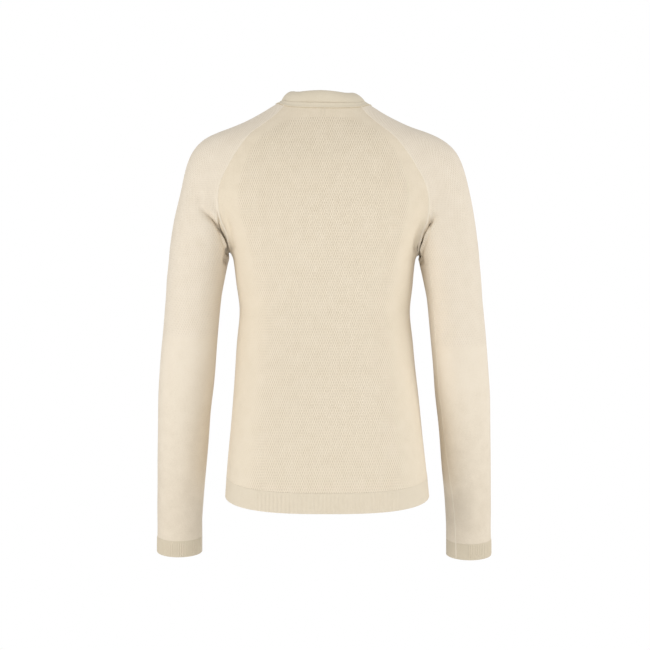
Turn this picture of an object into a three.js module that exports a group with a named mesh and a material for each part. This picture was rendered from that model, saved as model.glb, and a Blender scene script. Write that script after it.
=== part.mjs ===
// Thermal base layer top with raglan sleeves, kept in its worn form with no wearer in it.
// Millimetres, +Z up. The front of the garment faces -Y and the wearer's left is +X.
// The origin is the middle of the neck seam, where the wearer carries the garment.
import * as THREE from 'three';

// Cloth and seams
const clothThickness = 1.5;
const collarThickness = 2.8;
const bandThickness = 2.0;
const seamGap = 0.36;
const ribHeight = 0.9;
const hemRibPitch = 5.8;
const hemRibsEachFace = 36;
const cuffRibPitch = 3.2;
const cuffRadius = 33;
const plainStops = 12;

// Lengths below the neck seam
const armpitDrop = 215;
const armpitFore = 2;
const chestDrop = 224;
const bicepsDrop = 234;
const hemDrop = 539;
const hemBandHeight = 29.5;
const hemDipBehind = 16;
const hemDipBoth = 6;
const cuffSeamDrop = 634.5;
const cuffHeight = 24;
const forearmTilt = 0.2;

// Where the fine mesh knit of each sleeve ends and the smooth knit begins, as a drop
const meshEndLeft = 336;
const meshEndRight = 345;

// Where the cuffs are ribbed, in degrees from the outer side, positive to the front
const leftCuffRibs = { from: -160, to: 50 };
const rightCuffRibs = { from: -95, to: 115 };

// The figure is not quite even: the trunk leans and the right shoulder is lower.
const trunkLeanAtNeck = 4.2;
const trunkLeanPerDrop = 0.0128;
const armsMiddle = 1.2;
const armTop = -62;
const armTopSlope = 1.6;
const rightShoulderDrop = 4.4;
const rightNeckDrop = 2.2;

// Where columns run into the armpits, and how far a point may land from its guess
const armpitRegion = { below: -140, out: 100 };
const strayByArmpit = 14;
const strayElsewhere = 60;

// Steps round the pieces and along the middle line of the sleeve
const axisSteps = 80;
const raglanSteps = 15;
const backNeckSteps = 10;
const frontNeckSteps = 10;
const sleeveNeckSteps = 8;
const evenSweeps = 2;

// Trunk and shoulder sections: height, half width, depth behind and in front, squareness.
const trunkSections = [
  { z: 34, half: 50, back: 50, front: 44, square: 2 },
  { z: 18, half: 53, back: 53, front: 46, square: 2 },
  { z: 7, half: 58.5, back: 57, front: 48, square: 2 },
  { z: 1, half: 69.5, back: 58, front: 49.5, square: 2 },
  { z: -6, half: 82, back: 60, front: 51, square: 2 },
  { z: -14.7, half: 99, back: 64, front: 53.5, square: 2 },
  { z: -23, half: 119, back: 68, front: 56.5, square: 2 },
  { z: -32, half: 144.5, back: 73, front: 60, square: 2 },
  { z: -40, half: 166, back: 77, front: 63.5, square: 2.05 },
  { z: -50, half: 184, back: 82, front: 68.5, square: 2.1 },
  { z: -66, half: 187, back: 89, front: 76.5, square: 2.15 },
  { z: -90, half: 188, back: 97, front: 88, square: 2.2 },
  { z: -120, half: 184, back: 102, front: 99, square: 2.3 },
  { z: -155, half: 164, back: 103, front: 109, square: 2.45 },
  { z: -190, half: 146, back: 99, front: 113, square: 2.6 },
  { z: -226, half: 133, back: 94, front: 110, square: 2.6 },
  { z: -262, half: 129, back: 88, front: 101, square: 2.45 },
  { z: -300, half: 125, back: 84, front: 95, square: 2.25 },
  { z: -345, half: 129, back: 87, front: 95, square: 2.25 },
  { z: -403, half: 134, back: 96, front: 99, square: 2.3 },
  { z: -462, half: 139.5, back: 104, front: 104, square: 2.45 },
  { z: -520, half: 145, back: 108, front: 108, square: 2.65 },
  { z: -575, half: 149.5, back: 110, front: 110, square: 2.8 },
  { z: -620, half: 150.5, back: 110, front: 110, square: 2.8 },
];

// Arm sections: height, distance out and fore or aft of the middle, half width and half depth.
const armSections = [
  { z: -30, out: 135, fore: 4, half: 4, deep: 5 },
  { z: -50, out: 146, fore: 4, half: 28, deep: 30 },
  { z: -66, out: 152, fore: 4, half: 38, deep: 41 },
  { z: -90, out: 158, fore: 5, half: 46, deep: 49 },
  { z: -120, out: 165, fore: 6, half: 48, deep: 52 },
  { z: -160, out: 172.5, fore: 7, half: 48, deep: 53 },
  { z: -200, out: 179, fore: 8, half: 46.5, deep: 52 },
  { z: -226, out: 183.5, fore: 8, half: 44.2, deep: 51 },
  { z: -255, out: 188, fore: 9, half: 42.4, deep: 49 },
  { z: -285, out: 191.8, fore: 9, half: 40.6, deep: 47 },
  { z: -344, out: 197.3, fore: 7, half: 40.3, deep: 44.5 },
  { z: -403, out: 202, fore: -1, half: 40.4, deep: 43 },
  { z: -462, out: 206.6, fore: -11, half: 38.4, deep: 41 },
  { z: -520, out: 210, fore: -21, half: 36.5, deep: 38 },
  { z: -579, out: 213, fore: -31, half: 34.1, deep: 34.5 },
  { z: -620, out: 214.5, fore: -38, half: 33.3, deep: 32.5 },
  { z: -680, out: 215.5, fore: -49, half: 33.6, deep: 32.5 },
];

// How far the sleeve's columns swing out over the shoulder before they settle on the form
const shoulderRoundness = 1.1;

// How softly arm and trunk run together at each height
const unionSections = [
  { z: 0, soft: 40 },
  { z: -100, soft: 34 },
  { z: -150, soft: 22 },
  { z: -190, soft: 9 },
  { z: -215, soft: 4 },
  { z: -700, soft: 4 },
];

// Neck seam by the turn from the middle of the back: height of the seam
const neckSeamHeights = [
  { turn: -40, z: 1 },
  { turn: 0, z: -0.5 },
  { turn: 40, z: 1 },
  { turn: 78, z: 6 },
  { turn: 100, z: 4.5 },
  { turn: 118, z: 0 },
  { turn: 135, z: -12 },
  { turn: 154, z: -29 },
  { turn: 180, z: -39 },
  { turn: 206, z: -29 },
];
const raglanTurnBehind = 54;
const raglanTurnInFront = 126;

// Raglan seams as seen from behind and from in front: distance out and height
const raglanBehind = [
  { out: 71.5, z: -20 },
  { out: 96.6, z: -38.6 },
  { out: 118.3, z: -61.8 },
  { out: 138, z: -93.5 },
  { out: 148.5, z: -114.8 },
  { out: 152.3, z: -132 },
  { out: 151.5, z: -160 },
];
const raglanInFront = [
  { out: 71, z: -27 },
  { out: 94, z: -53 },
  { out: 114, z: -80 },
  { out: 131, z: -107 },
  { out: 144, z: -131 },
  { out: 152, z: -149 },
];

// The last part of each seam lies in the valley between trunk and arm: reach and steps
const valleyBehind = { reach: 45, steps: 4 };
const valleyInFront = { reach: 43, steps: 4 };

// Collar: half width, depths and height of its top edge
const collarTop = { half: 47.5, back: 51, front: 54 };
const collarRise = 18.5;
const collarRiseInFront = 23;
const collarFullness = 2.4;
const collarSideDip = 0.243;
const collarLift = 0.58;

// Round the collar's wall: share of the rise, and of the thickness inwards
const collarWall = [
  { up: 0, inward: 0 },
  { up: 0.33, inward: 0 },
  { up: 0.66, inward: 0 },
  { up: 0.93, inward: 0.04 },
  { up: 1.02, inward: 0.35 },
  { up: 1.02, inward: 0.65 },
  { up: 0.93, inward: 0.98 },
  { up: 0.5, inward: 1 },
  { up: 0, inward: 1 },
];

// Middle line of the sleeve from the shoulder to the upper arm
const armAxis = [
  { out: 62, fore: 0, z: -62 },
  { out: 110, fore: 4, z: -82 },
  { out: 150, fore: 6, z: -118 },
  { out: 174, fore: 7, z: -172 },
  { out: 183.5, fore: 8, z: -234 },
];

// Folds fade out this far from the seam
const foldsClearSeam = 14;

// Largest folds: side, face, from and to on the seen face, half breadth and depth of the trough
const folds = [
  { side: 1, face: 1, fromOut: 141, fromZ: -206, toOut: 161, toZ: -172, breadth: 9, depth: 4.5 },
  { side: 1, face: 1, fromOut: 161, fromZ: -172, toOut: 180, toZ: -153, breadth: 10, depth: 3 },
  { side: -1, face: 1, fromOut: 139, fromZ: -206, toOut: 158, toZ: -168, breadth: 9, depth: 4.5 },
  { side: -1, face: 1, fromOut: 158, fromZ: -168, toOut: 172, toZ: -128, breadth: 10, depth: 2.5 },
  { side: 1, face: -1, fromOut: 141, fromZ: -204, toOut: 158, toZ: -160, breadth: 10, depth: 4 },
  { side: -1, face: -1, fromOut: 141, fromZ: -204, toOut: 160, toZ: -165, breadth: 10, depth: 4 },
];

// Value of one column at a height or turn, on a smooth curve that never overshoots its rows
function valueAt(rows, by, column, at) {
  const rising = rows[0][by] < rows[rows.length - 1][by];
  const list = rising ? rows : [...rows].reverse();
  const last = list.length - 1;
  if (at <= list[0][by]) return list[0][column];
  if (at >= list[last][by]) return list[last][column];
  let i = 0;
  while (at > list[i + 1][by]) i += 1;
  const slope = (k) => (list[k + 1][column] - list[k][column]) / (list[k + 1][by] - list[k][by]);
  const tangent = (k) => {
    if (k === 0) return slope(0);
    if (k === last) return slope(last - 1);
    const before = slope(k - 1);
    const after = slope(k);
    return before * after <= 0 ? 0 : (2 * before * after) / (before + after);
  };
  const span = list[i + 1][by] - list[i][by];
  const t = (at - list[i][by]) / span;
  const start = list[i][column] * (1 + 2 * t) * (1 - t) ** 2 + tangent(i) * span * t * (1 - t) ** 2;
  const end = list[i + 1][column] * t * t * (3 - 2 * t) + tangent(i + 1) * span * t * t * (t - 1);
  return start + end;
}

function easeBetween(low, high, value) {
  const t = Math.min(1, Math.max(0, (value - low) / (high - low)));
  return t * t * (3 - 2 * t);
}

const trunkLean = (z) => trunkLeanAtNeck + trunkLeanPerDrop * Math.min(0, z);

// Distance past an oval section, along the line from its middle
function pastOval(x, y, half, deep, square) {
  const away = Math.hypot(x, y) + 1e-6;
  const reach = ((Math.abs(x) / half) ** square + (Math.abs(y) / deep) ** square) ** (1 / square);
  return away * (1 - 1 / Math.max(reach, 1e-6));
}

// The worn form: negative inside trunk and arms, zero on the cloth's outer face
function formAt(x, y, z) {
  const outFromTrunk = Math.abs(x - trunkLean(z));
  const outFromArms = Math.abs(x - armsMiddle);
  const lowered = x < 0 ? rightShoulderDrop : 0;
  const trunkZ = z + lowered * easeBetween(70, 130, outFromTrunk);
  const armZ = z + lowered;
  const deep = valueAt(trunkSections, 'z', y > 0 ? 'back' : 'front', trunkZ);
  const half = valueAt(trunkSections, 'z', 'half', trunkZ);
  const square = valueAt(trunkSections, 'z', 'square', trunkZ);
  const trunk = pastOval(outFromTrunk, y, half, deep, square);
  const armOut = outFromArms - valueAt(armSections, 'z', 'out', armZ);
  const armFore = y - valueAt(armSections, 'z', 'fore', armZ);
  const armHalf = valueAt(armSections, 'z', 'half', armZ);
  const armDeep = valueAt(armSections, 'z', 'deep', armZ);
  const aboveArm = armTopSlope * Math.max(0, armZ - armTop);
  const arm = pastOval(armOut, armFore, armHalf, armDeep, 2) + aboveArm;
  const soft = valueAt(unionSections, 'z', 'soft', z);
  const mix = Math.min(1, Math.max(0, 0.5 + (0.5 * (arm - trunk)) / soft));
  return arm * (1 - mix) + trunk * mix - soft * mix * (1 - mix);
}

function slopeAt(p) {
  const step = 0.4;
  return new THREE.Vector3(
    formAt(p.x + step, p.y, p.z) - formAt(p.x - step, p.y, p.z),
    formAt(p.x, p.y + step, p.z) - formAt(p.x, p.y - step, p.z),
    formAt(p.x, p.y, p.z + step) - formAt(p.x, p.y, p.z - step),
  ).divideScalar(2 * step);
}

const outwardAt = (p) => slopeAt(p).normalize();

// Moves a point onto the form along its steepest slope
function settle(p) {
  const q = p.clone();
  for (let turn = 0; turn < 14; turn += 1) {
    const slope = slopeAt(q);
    const move = -formAt(q.x, q.y, q.z) / slope.lengthSq();
    q.addScaledVector(slope, Math.max(-12, Math.min(12, move)));
  }
  return q;
}

const nearArmpit = (p) => p.z < armpitRegion.below && Math.abs(p.x) > armpitRegion.out;

// The first point of the form met from an inner point towards a guess, or the guess settled
function reachForm(inner, guess) {
  const towards = guess.clone().sub(inner);
  const far = towards.length() + 30;
  towards.normalize();
  const at = (away) => inner.clone().addScaledVector(towards, away);
  const valueOn = (away) => {
    const q = at(away);
    return formAt(q.x, q.y, q.z);
  };
  let inside = 4;
  while (inside < far && valueOn(inside + 2) < 0) inside += 2;
  let outside = inside + 2;
  for (let turn = 0; turn < 24; turn += 1) {
    const middle = (inside + outside) / 2;
    if (valueOn(middle) < 0) inside = middle;
    else outside = middle;
  }
  const hit = at(inside);
  const limit = nearArmpit(guess) ? strayByArmpit : strayElsewhere;
  return hit.distanceTo(guess) > limit ? settle(guess) : hit;
}

// The point on the form seen at a place from behind (face 1) or from in front (face -1)
function seenPoint(x, z, face) {
  let inside = 0;
  let outside = 170 * face;
  for (let turn = 0; turn < 40; turn += 1) {
    const middle = (inside + outside) / 2;
    if (formAt(x, middle, z) < 0) inside = middle;
    else outside = middle;
  }
  return new THREE.Vector3(x, inside, z);
}

// The point of the neck seam at a turn from the middle of the back, on the left or right
function neckPoint(turn, side) {
  const angle = THREE.MathUtils.degToRad(turn);
  const lowered = side < 0 ? rightNeckDrop * Math.sin(angle) : 0;
  const z = valueAt(neckSeamHeights, 'turn', 'z', turn) - lowered;
  let inside = 0;
  let outside = 110;
  for (let step = 0; step < 40; step += 1) {
    const middle = (inside + outside) / 2;
    const x = trunkLean(z) + side * middle * Math.sin(angle);
    if (formAt(x, middle * Math.cos(angle), z) < 0) inside = middle;
    else outside = middle;
  }
  const x = trunkLean(z) + side * inside * Math.sin(angle);
  return new THREE.Vector3(x, inside * Math.cos(angle), z);
}

function spread(from, to, steps, at) {
  return Array.from({ length: steps }, (_, i) => at(from + ((to - from) * i) / steps));
}

// Bottom of the valley between trunk and arm, at a distance behind or in front of the middle
function valleyPoint(side, y) {
  const widest = (z) => {
    let best = { x: 0, value: -1e9 };
    for (let out = 120; out < 172; out += 0.25) {
      const value = formAt(side * out, y, z);
      if (value > best.value) best = { x: side * out, value };
    }
    return best;
  };
  let open = -armpitDrop - 20;
  let closed = -110;
  for (let turn = 0; turn < 18; turn += 1) {
    const middle = (open + closed) / 2;
    if (widest(middle).value > 0) open = middle;
    else closed = middle;
  }
  return settle(new THREE.Vector3(widest(open).x, y, open));
}

// One raglan seam as points from the neck to the armpit, closer together near the armpit
function raglanSeam(rows, turn, face, side) {
  const known = rows.map((row) => {
    const z = row.z - (side < 0 ? rightShoulderDrop * easeBetween(40, 110, row.out) : 0);
    return seenPoint(trunkLean(z) + side * row.out, z, face);
  });
  const { reach, steps } = face > 0 ? valleyBehind : valleyInFront;
  const valley = spread(reach, 0, steps, (away) => valleyPoint(side, armpitFore + face * away));
  valley.push(valleyPoint(side, armpitFore));
  const curve = new THREE.CatmullRomCurve3([neckPoint(turn, side), ...known, valley[0]]);
  curve.arcLengthDivisions = 600;
  const upper = spread(0, 1, raglanSteps - steps, (t) => curve.getPointAt(t * (1.1 - 0.1 * t)));
  return [upper[0], ...upper.slice(1).map(settle), ...valley];
}

// Armhole loop: over the neck, down the front raglan to the armpit and up the back raglan
function armholeLoop(side) {
  const neck = spread(raglanTurnBehind, raglanTurnInFront, sleeveNeckSteps, (t) => neckPoint(t, side));
  const front = raglanSeam(raglanInFront, raglanTurnInFront, -1, side);
  const back = raglanSeam(raglanBehind, raglanTurnBehind, 1, side);
  return { neck, front, back, all: [...neck, ...front.slice(0, -1), ...[...back].reverse().slice(0, -1)] };
}

// Neck, front and back edges of the body: one closed loop, from the middle of the back
function bodyTopLoop(left, right) {
  const half = backNeckSteps / 2;
  const behindLeft = spread(0, raglanTurnBehind, half, (t) => neckPoint(t, 1));
  const behindRight = spread(raglanTurnBehind, 0, half, (t) => neckPoint(t, -1));
  const frontHalf = frontNeckSteps / 2;
  const frontLeft = spread(raglanTurnInFront, 180, frontHalf, (t) => neckPoint(t, 1));
  const frontRight = spread(180, raglanTurnInFront, frontHalf, (t) => neckPoint(t, -1));
  return [
    ...behindLeft,
    ...left.back.slice(0, -1),
    ...[...left.front].reverse().slice(0, -1),
    ...frontLeft,
    ...frontRight,
    ...right.front.slice(0, -1),
    ...[...right.back].reverse().slice(0, -1),
    ...behindRight,
  ];
}

// Directions along the cloth, square to a loop of edge points, on the side of the aims
function acrossEdge(loop, aims) {
  const across = loop.map((p, i) => {
    const next = loop[(i + 1) % loop.length];
    const before = loop[(i + loop.length - 1) % loop.length];
    const along = next.clone().sub(before).normalize();
    return along.cross(outwardAt(p)).normalize();
  });
  const votes = loop.reduce((sum, p, i) => sum + Math.sign(across[i].dot(aims[i].clone().sub(p))), 0);
  return votes < 0 ? across.map((direction) => direction.negate()) : across;
}

// Evens out the points of columns side by side along the form, but for their ends and kept points
function evenOut(columns, isKept) {
  let now = columns;
  for (let sweep = 0; sweep < evenSweeps; sweep += 1) {
    now = now.map((column, i) => {
      const before = now[(i + now.length - 1) % now.length];
      const after = now[(i + 1) % now.length];
      return column.map((p, k) => {
        if (k === 0 || k === column.length - 1 || isKept(p)) return p;
        const middle = new THREE.Vector3().add(before[k]).add(after[k]).add(column[k - 1]).add(column[k + 1]);
        return settle(middle.multiplyScalar(0.25).lerp(p, 0.4));
      });
    });
  }
  return now;
}

// Depth of the largest folds at a point
function foldDepth(p) {
  const side = p.x > 0 ? 1 : -1;
  const out = Math.abs(p.x - trunkLean(p.z));
  let depth = 0;
  folds.forEach((fold) => {
    if (fold.side !== side) return;
    const runOut = fold.toOut - fold.fromOut;
    const runZ = fold.toZ - fold.fromZ;
    const along = ((out - fold.fromOut) * runOut + (p.z - fold.fromZ) * runZ) / (runOut ** 2 + runZ ** 2);
    const near = Math.min(1, Math.max(0, along));
    const off = Math.hypot(out - fold.fromOut - near * runOut, p.z - fold.fromZ - near * runZ);
    const facing = easeBetween(0, 25, p.y * fold.face);
    depth = Math.max(depth, facing * fold.depth * Math.exp(-((off / fold.breadth) ** 2)));
  });
  return depth;
}

// Outer and inner points of a cloth wall from points on the form
function wallPair(p, thickness, raised = 0, fold = 0) {
  const outward = outwardAt(p);
  return {
    outer: p.clone().addScaledVector(outward, raised - fold),
    inner: p.clone().addScaledVector(outward, -thickness - fold),
  };
}

// Closed solid from columns round the piece, each a closed loop of points through the wall
function closedWall(name, columns, material) {
  const count = columns.length;
  const round = columns[0].length;
  const points = columns.flat();
  const at = (i, k) => (i % count) * round + (k % round);
  const faces = [];
  for (let i = 0; i < count; i += 1) {
    for (let k = 0; k < round; k += 1) {
      const a = at(i, k);
      const b = at(i + 1, k);
      const c = at(i + 1, k + 1);
      const d = at(i, k + 1);
      const shortFirst = points[a].distanceTo(points[c]) <= points[b].distanceTo(points[d]);
      faces.push(...(shortFirst ? [a, b, c, a, c, d] : [a, b, d, b, c, d]));
    }
  }
  let volume = 0;
  for (let f = 0; f < faces.length; f += 3) {
    const [a, b, c] = [points[faces[f]], points[faces[f + 1]], points[faces[f + 2]]];
    volume += a.dot(b.clone().cross(c)) / 6;
  }
  if (volume < 0) faces.reverse();
  const geometry = new THREE.BufferGeometry();
  geometry.setAttribute('position', new THREE.Float32BufferAttribute(points.flatMap((p) => p.toArray()), 3));
  geometry.setIndex(faces);
  geometry.computeVertexNormals();
  const mesh = new THREE.Mesh(geometry, material);
  mesh.name = name;
  return mesh;
}

// Column of a wall: outer points from one end to the other, then back along the inner ones
const throughWall = (pairs) => [...pairs.map((p) => p.outer), ...pairs.map((p) => p.inner).reverse()];

// Height of the line where the hem band begins, lower behind than in front
function hemLine(y, deep) {
  const share = y / deep;
  return -hemDrop - hemDipBehind * share - hemDipBoth * share * share;
}

// Trunk point at a share of the way round from the middle of the back, leftwards
function trunkPoint(share, zOf) {
  const turn = share * 2 * Math.PI;
  let z = zOf(0, 100);
  let point = null;
  for (let pass = 0; pass < 4; pass += 1) {
    const half = valueAt(trunkSections, 'z', 'half', z);
    const back = Math.cos(turn) > 0;
    const deep = valueAt(trunkSections, 'z', back ? 'back' : 'front', z);
    const square = valueAt(trunkSections, 'z', 'square', z);
    const away = ((Math.abs(Math.sin(turn)) / half) ** square + (Math.abs(Math.cos(turn)) / deep) ** square)
      ** (-1 / square);
    const y = Math.cos(turn) * away;
    point = new THREE.Vector3(trunkLean(z) + Math.sin(turn) * away, y, z);
    z = zOf(y, deep);
  }
  point.z = z;
  return point;
}

// Length round the trunk at a height, and the share of the round at a length
function roundTrunk(z) {
  const fine = 2000;
  const lengths = [0];
  let before = trunkPoint(0, () => z);
  for (let i = 1; i <= fine; i += 1) {
    const here = trunkPoint(i / fine, () => z);
    lengths.push(lengths[i - 1] + here.distanceTo(before));
    before = here;
  }
  const shareAt = (length) => {
    const k = Math.max(1, lengths.findIndex((value) => value >= length - 1e-9));
    return (k - 1 + (length - lengths[k - 1]) / (lengths[k] - lengths[k - 1])) / fine;
  };
  return { total: lengths[fine], shareAt };
}

// Body: one tube from the hem line up to the neck and the raglan lines
function makeBody(left, right, material) {
  const edge = bodyTopLoop(left, right);
  const round = roundTrunk(-chestDrop);
  const shares = edge.map((_, i) => round.shareAt((round.total * i) / edge.length));
  const chest = shares.map((share) => settle(trunkPoint(share, () => -chestDrop)));
  const across = acrossEdge(edge, chest);
  const lowerDrops = [-500, -455, -403, -345, -292, -255];
  const upperSteps = [0.15, 0.3, 0.45, 0.59, 0.72, 0.84, 0.94];
  const upper = edge.map((top, i) => {
    const end = top.clone().addScaledVector(across[i], seamGap / 2);
    const between = upperSteps.map((t) => {
      const guess = chest[i].clone().lerp(end, t);
      return reachForm(new THREE.Vector3(trunkLean(guess.z), 0, guess.z), guess);
    });
    return [chest[i], ...between, end];
  });
  const columns = evenOut(upper, nearArmpit).map((points, i) => {
    const hem = trunkPoint(shares[i], (y, deep) => hemLine(y, deep) + seamGap / 2);
    const lower = lowerDrops.map((z) => trunkPoint(shares[i], () => z));
    return throughWall([hem, ...lower, ...points].map((p) => wallPair(p, clothThickness)));
  });
  return closedWall('body', columns, material);
}

// Point of a sleeve on a ring that tilts with the forearm, at an angle from its outer side
function sleevePoint(side, angle, z, tilt) {
  const lowered = side < 0 ? rightShoulderDrop : 0;
  let here = z;
  for (let pass = 0; pass < 3; pass += 1) {
    here = z + tilt * valueAt(armSections, 'z', 'deep', here) * Math.sin(angle);
  }
  const out = valueAt(armSections, 'z', 'out', here) + valueAt(armSections, 'z', 'half', here) * Math.cos(angle);
  const y = valueAt(armSections, 'z', 'fore', here) - valueAt(armSections, 'z', 'deep', here) * Math.sin(angle);
  return new THREE.Vector3(armsMiddle + side * out, y, here - lowered);
}

// Sleeve: the mesh part from the armhole loop over the shoulder, and the smooth part on to the cuff
function makeSleeve(label, side, meshEnd, armhole, material) {
  const loop = armhole.all;
  const outerColumn = sleeveNeckSteps / 2;
  const angles = loop.map((_, i) => (2 * Math.PI * (i - outerColumn)) / loop.length);
  const biceps = angles.map((angle) => settle(sleevePoint(side, angle, -bicepsDrop, 0)));
  const across = acrossEdge(loop, biceps);
  const lowered = side < 0 ? rightShoulderDrop : 0;
  const axisCurve = new THREE.CatmullRomCurve3(
    armAxis.map((row) => new THREE.Vector3(armsMiddle + side * row.out, row.fore, row.z - lowered)),
  );
  const axis = axisCurve.getSpacedPoints(axisSteps);
  const nearestOnAxis = (p) => axis.reduce((best, q, i) => (q.distanceTo(p) < axis[best].distanceTo(p) ? i : best), 0);
  const upperSteps = [0.09, 0.19, 0.29, 0.39, 0.48, 0.56, 0.64, 0.72, 0.81, 0.91];
  const meshDrops = [-270, -305, -meshEnd + seamGap / 2];
  const smoothDrops = [-meshEnd - seamGap / 2, -372, -410, -452, -498, -545, -592];
  const upper = loop.map((start, i) => {
    const top = start.clone().addScaledVector(across[i], seamGap / 2);
    const end = biceps[i];
    const reach = top.distanceTo(end);
    const leave = axisCurve.getTangentAt(nearestOnAxis(top) / axisSteps).multiplyScalar(reach * shoulderRoundness);
    const arrive = new THREE.Vector3(side * 0.12, 0, -1).multiplyScalar(reach * shoulderRoundness);
    const path = new THREE.CubicBezierCurve3(
      top,
      top.clone().addScaledVector(leave, 1 / 3),
      end.clone().addScaledVector(arrive, -1 / 3),
      end,
    );
    const between = upperSteps.map((t) => {
      const guess = path.getPointAt(t);
      return reachForm(axis[nearestOnAxis(guess)], guess);
    });
    return [top, ...between, end];
  });
  const ringWall = (angle, z) => {
    const tilt = forearmTilt * easeBetween(-bicepsDrop, -cuffSeamDrop + 120, z);
    return wallPair(sleevePoint(side, angle, z, tilt), clothThickness);
  };
  const meshColumns = evenOut(upper, () => false).map((points, i) => {
    const pairs = points.map((p) => {
      const clear = easeBetween(0, foldsClearSeam, p.distanceTo(points[0]));
      return wallPair(p, clothThickness, 0, foldDepth(p) * clear);
    });
    return throughWall([...pairs, ...meshDrops.map((z) => ringWall(angles[i], z))]);
  });
  const smoothColumns = angles.map((angle) => {
    const foot = sleevePoint(side, angle, -cuffSeamDrop + seamGap / 2, forearmTilt);
    return throughWall([...smoothDrops.map((z) => ringWall(angle, z)), wallPair(foot, clothThickness)]);
  });
  return [
    closedWall(`sleeve_upper_${label}`, meshColumns, material),
    closedWall(`sleeve_lower_${label}`, smoothColumns, material),
  ];
}

// Hem band: plain inside, ribs raised on the middle of the back and front
function makeHemBand(material) {
  const round = roundTrunk(-hemDrop - hemBandHeight / 2);
  const stops = ribStops(round, hemRibsEachFace, hemRibsEachFace * hemRibPitch, plainStops);
  const columns = stops.map((stop) => {
    const share = stop.share;
    const top = trunkPoint(share, (y, deep) => hemLine(y, deep) - seamGap / 2);
    const foot = trunkPoint(share, (y, deep) => hemLine(y, deep) - hemBandHeight);
    return throughWall([wallPair(top, bandThickness, stop.raised), wallPair(foot, bandThickness, stop.raised)]);
  });
  return closedWall('hem_band', columns, material);
}

// Stops round the hem: rib crests and valleys behind and in front, plain stops at the sides
function ribStops(round, ribs, ribbedLength, plain) {
  const stops = [];
  const plainLength = round.total / 2 - ribbedLength;
  const addRibs = (start) => {
    for (let i = 0; i < ribs * 2; i += 1) {
      const length = start + (i * ribbedLength) / (ribs * 2);
      stops.push({ length, raised: i % 2 === 1 ? ribHeight : 0 });
    }
  };
  const addPlain = (start) => {
    for (let i = 0; i < plain; i += 1) {
      stops.push({ length: start + (i * plainLength) / plain, raised: 0 });
    }
  };
  addRibs(-ribbedLength / 2);
  addPlain(ribbedLength / 2);
  addRibs(round.total / 2 - ribbedLength / 2);
  addPlain(round.total / 2 + ribbedLength / 2);
  return stops.map((stop) => {
    const length = (stop.length + round.total) % round.total;
    return { share: round.shareAt(length), raised: stop.raised };
  });
}

// Cuff: ribbed from one angle to another, plain for the rest of the round
function makeCuff(name, side, ribbed, material) {
  const ribbedArc = THREE.MathUtils.degToRad(ribbed.to - ribbed.from);
  const ribs = Math.round((ribbedArc * cuffRadius) / cuffRibPitch);
  const stops = [];
  for (let i = 0; i < ribs * 2; i += 1) {
    const angle = THREE.MathUtils.degToRad(ribbed.from) + (ribbedArc * i) / (ribs * 2);
    stops.push({ angle, raised: i % 2 === 1 ? ribHeight : 0 });
  }
  for (let i = 0; i < plainStops; i += 1) {
    const angle = THREE.MathUtils.degToRad(ribbed.to) + ((2 * Math.PI - ribbedArc) * i) / plainStops;
    stops.push({ angle, raised: 0 });
  }
  const columns = stops.map((stop) => {
    const top = sleevePoint(side, stop.angle, -cuffSeamDrop - seamGap / 2, forearmTilt);
    const foot = sleevePoint(side, stop.angle, -cuffSeamDrop - cuffHeight, forearmTilt);
    return throughWall([wallPair(top, bandThickness, stop.raised), wallPair(foot, bandThickness, stop.raised)]);
  });
  return closedWall(name, columns, material);
}

// Collar: a doubled band standing on the neck seam and leaning in, with a round top edge
function makeCollar(material) {
  const half = backNeckSteps / 2;
  const frontHalf = frontNeckSteps / 2;
  const turns = (side) => [
    ...spread(0, raglanTurnBehind, half, (t) => ({ t, side })),
    ...spread(raglanTurnBehind, raglanTurnInFront, sleeveNeckSteps, (t) => ({ t, side })),
    ...spread(raglanTurnInFront, 180, frontHalf, (t) => ({ t, side })),
  ];
  const rightTurns = turns(-1).slice(1).reverse();
  const stops = [...turns(1), { t: 180, side: 1 }, ...rightTurns];
  const columns = stops.map((stop) => {
    const seam = neckPoint(stop.t, stop.side);
    const angle = THREE.MathUtils.degToRad(stop.t);
    const share = easeBetween(60, 180, stop.t);
    const rise = collarRise + (collarRiseInFront - collarRise) * share;
    const deep = Math.cos(angle) > 0 ? collarTop.back : collarTop.front;
    const top = new THREE.Vector3(
      trunkLean(0) + stop.side * collarTop.half * Math.sin(angle),
      deep * Math.cos(angle),
      seam.z + rise * (1 - collarSideDip * Math.sin(angle) ** 2),
    );
    const away = new THREE.Vector3(stop.side * Math.sin(angle), Math.cos(angle), 0);
    const foot = seam.clone();
    foot.z += collarLift;
    const run = top.clone().sub(foot);
    const facing = away.clone().addScaledVector(run, -away.dot(run) / run.lengthSq()).normalize();
    const at = (t, off) => {
      const bulge = collarFullness * 4 * t * (1 - t);
      return foot.clone().addScaledVector(run, t).addScaledVector(facing, bulge + off);
    };
    return collarWall.map((row) => at(row.up, -row.inward * collarThickness));
  });
  return closedWall('collar', columns, material);
}

function knit(colour) {
  return new THREE.MeshStandardMaterial({ color: colour, roughness: 0.85, metalness: 0 });
}

const leftArmhole = armholeLoop(1);
const rightArmhole = armholeLoop(-1);

const group = new THREE.Group();
group.name = 'thermal_top';
group.add(makeBody(leftArmhole, rightArmhole, knit(0xe2d5bd)));
group.add(...makeSleeve('left', 1, meshEndLeft, leftArmhole, knit(0xe5d8c3)));
group.add(...makeSleeve('right', -1, meshEndRight, rightArmhole, knit(0xe5d8c3)));
group.add(makeCollar(knit(0xdbd0be)));
group.add(makeHemBand(knit(0xdccfb8)));
group.add(makeCuff('cuff_left', 1, leftCuffRibs, knit(0xcdbfa5)));
group.add(makeCuff('cuff_right', -1, rightCuffRibs, knit(0xcdbfa5)));

export default group;
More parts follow.
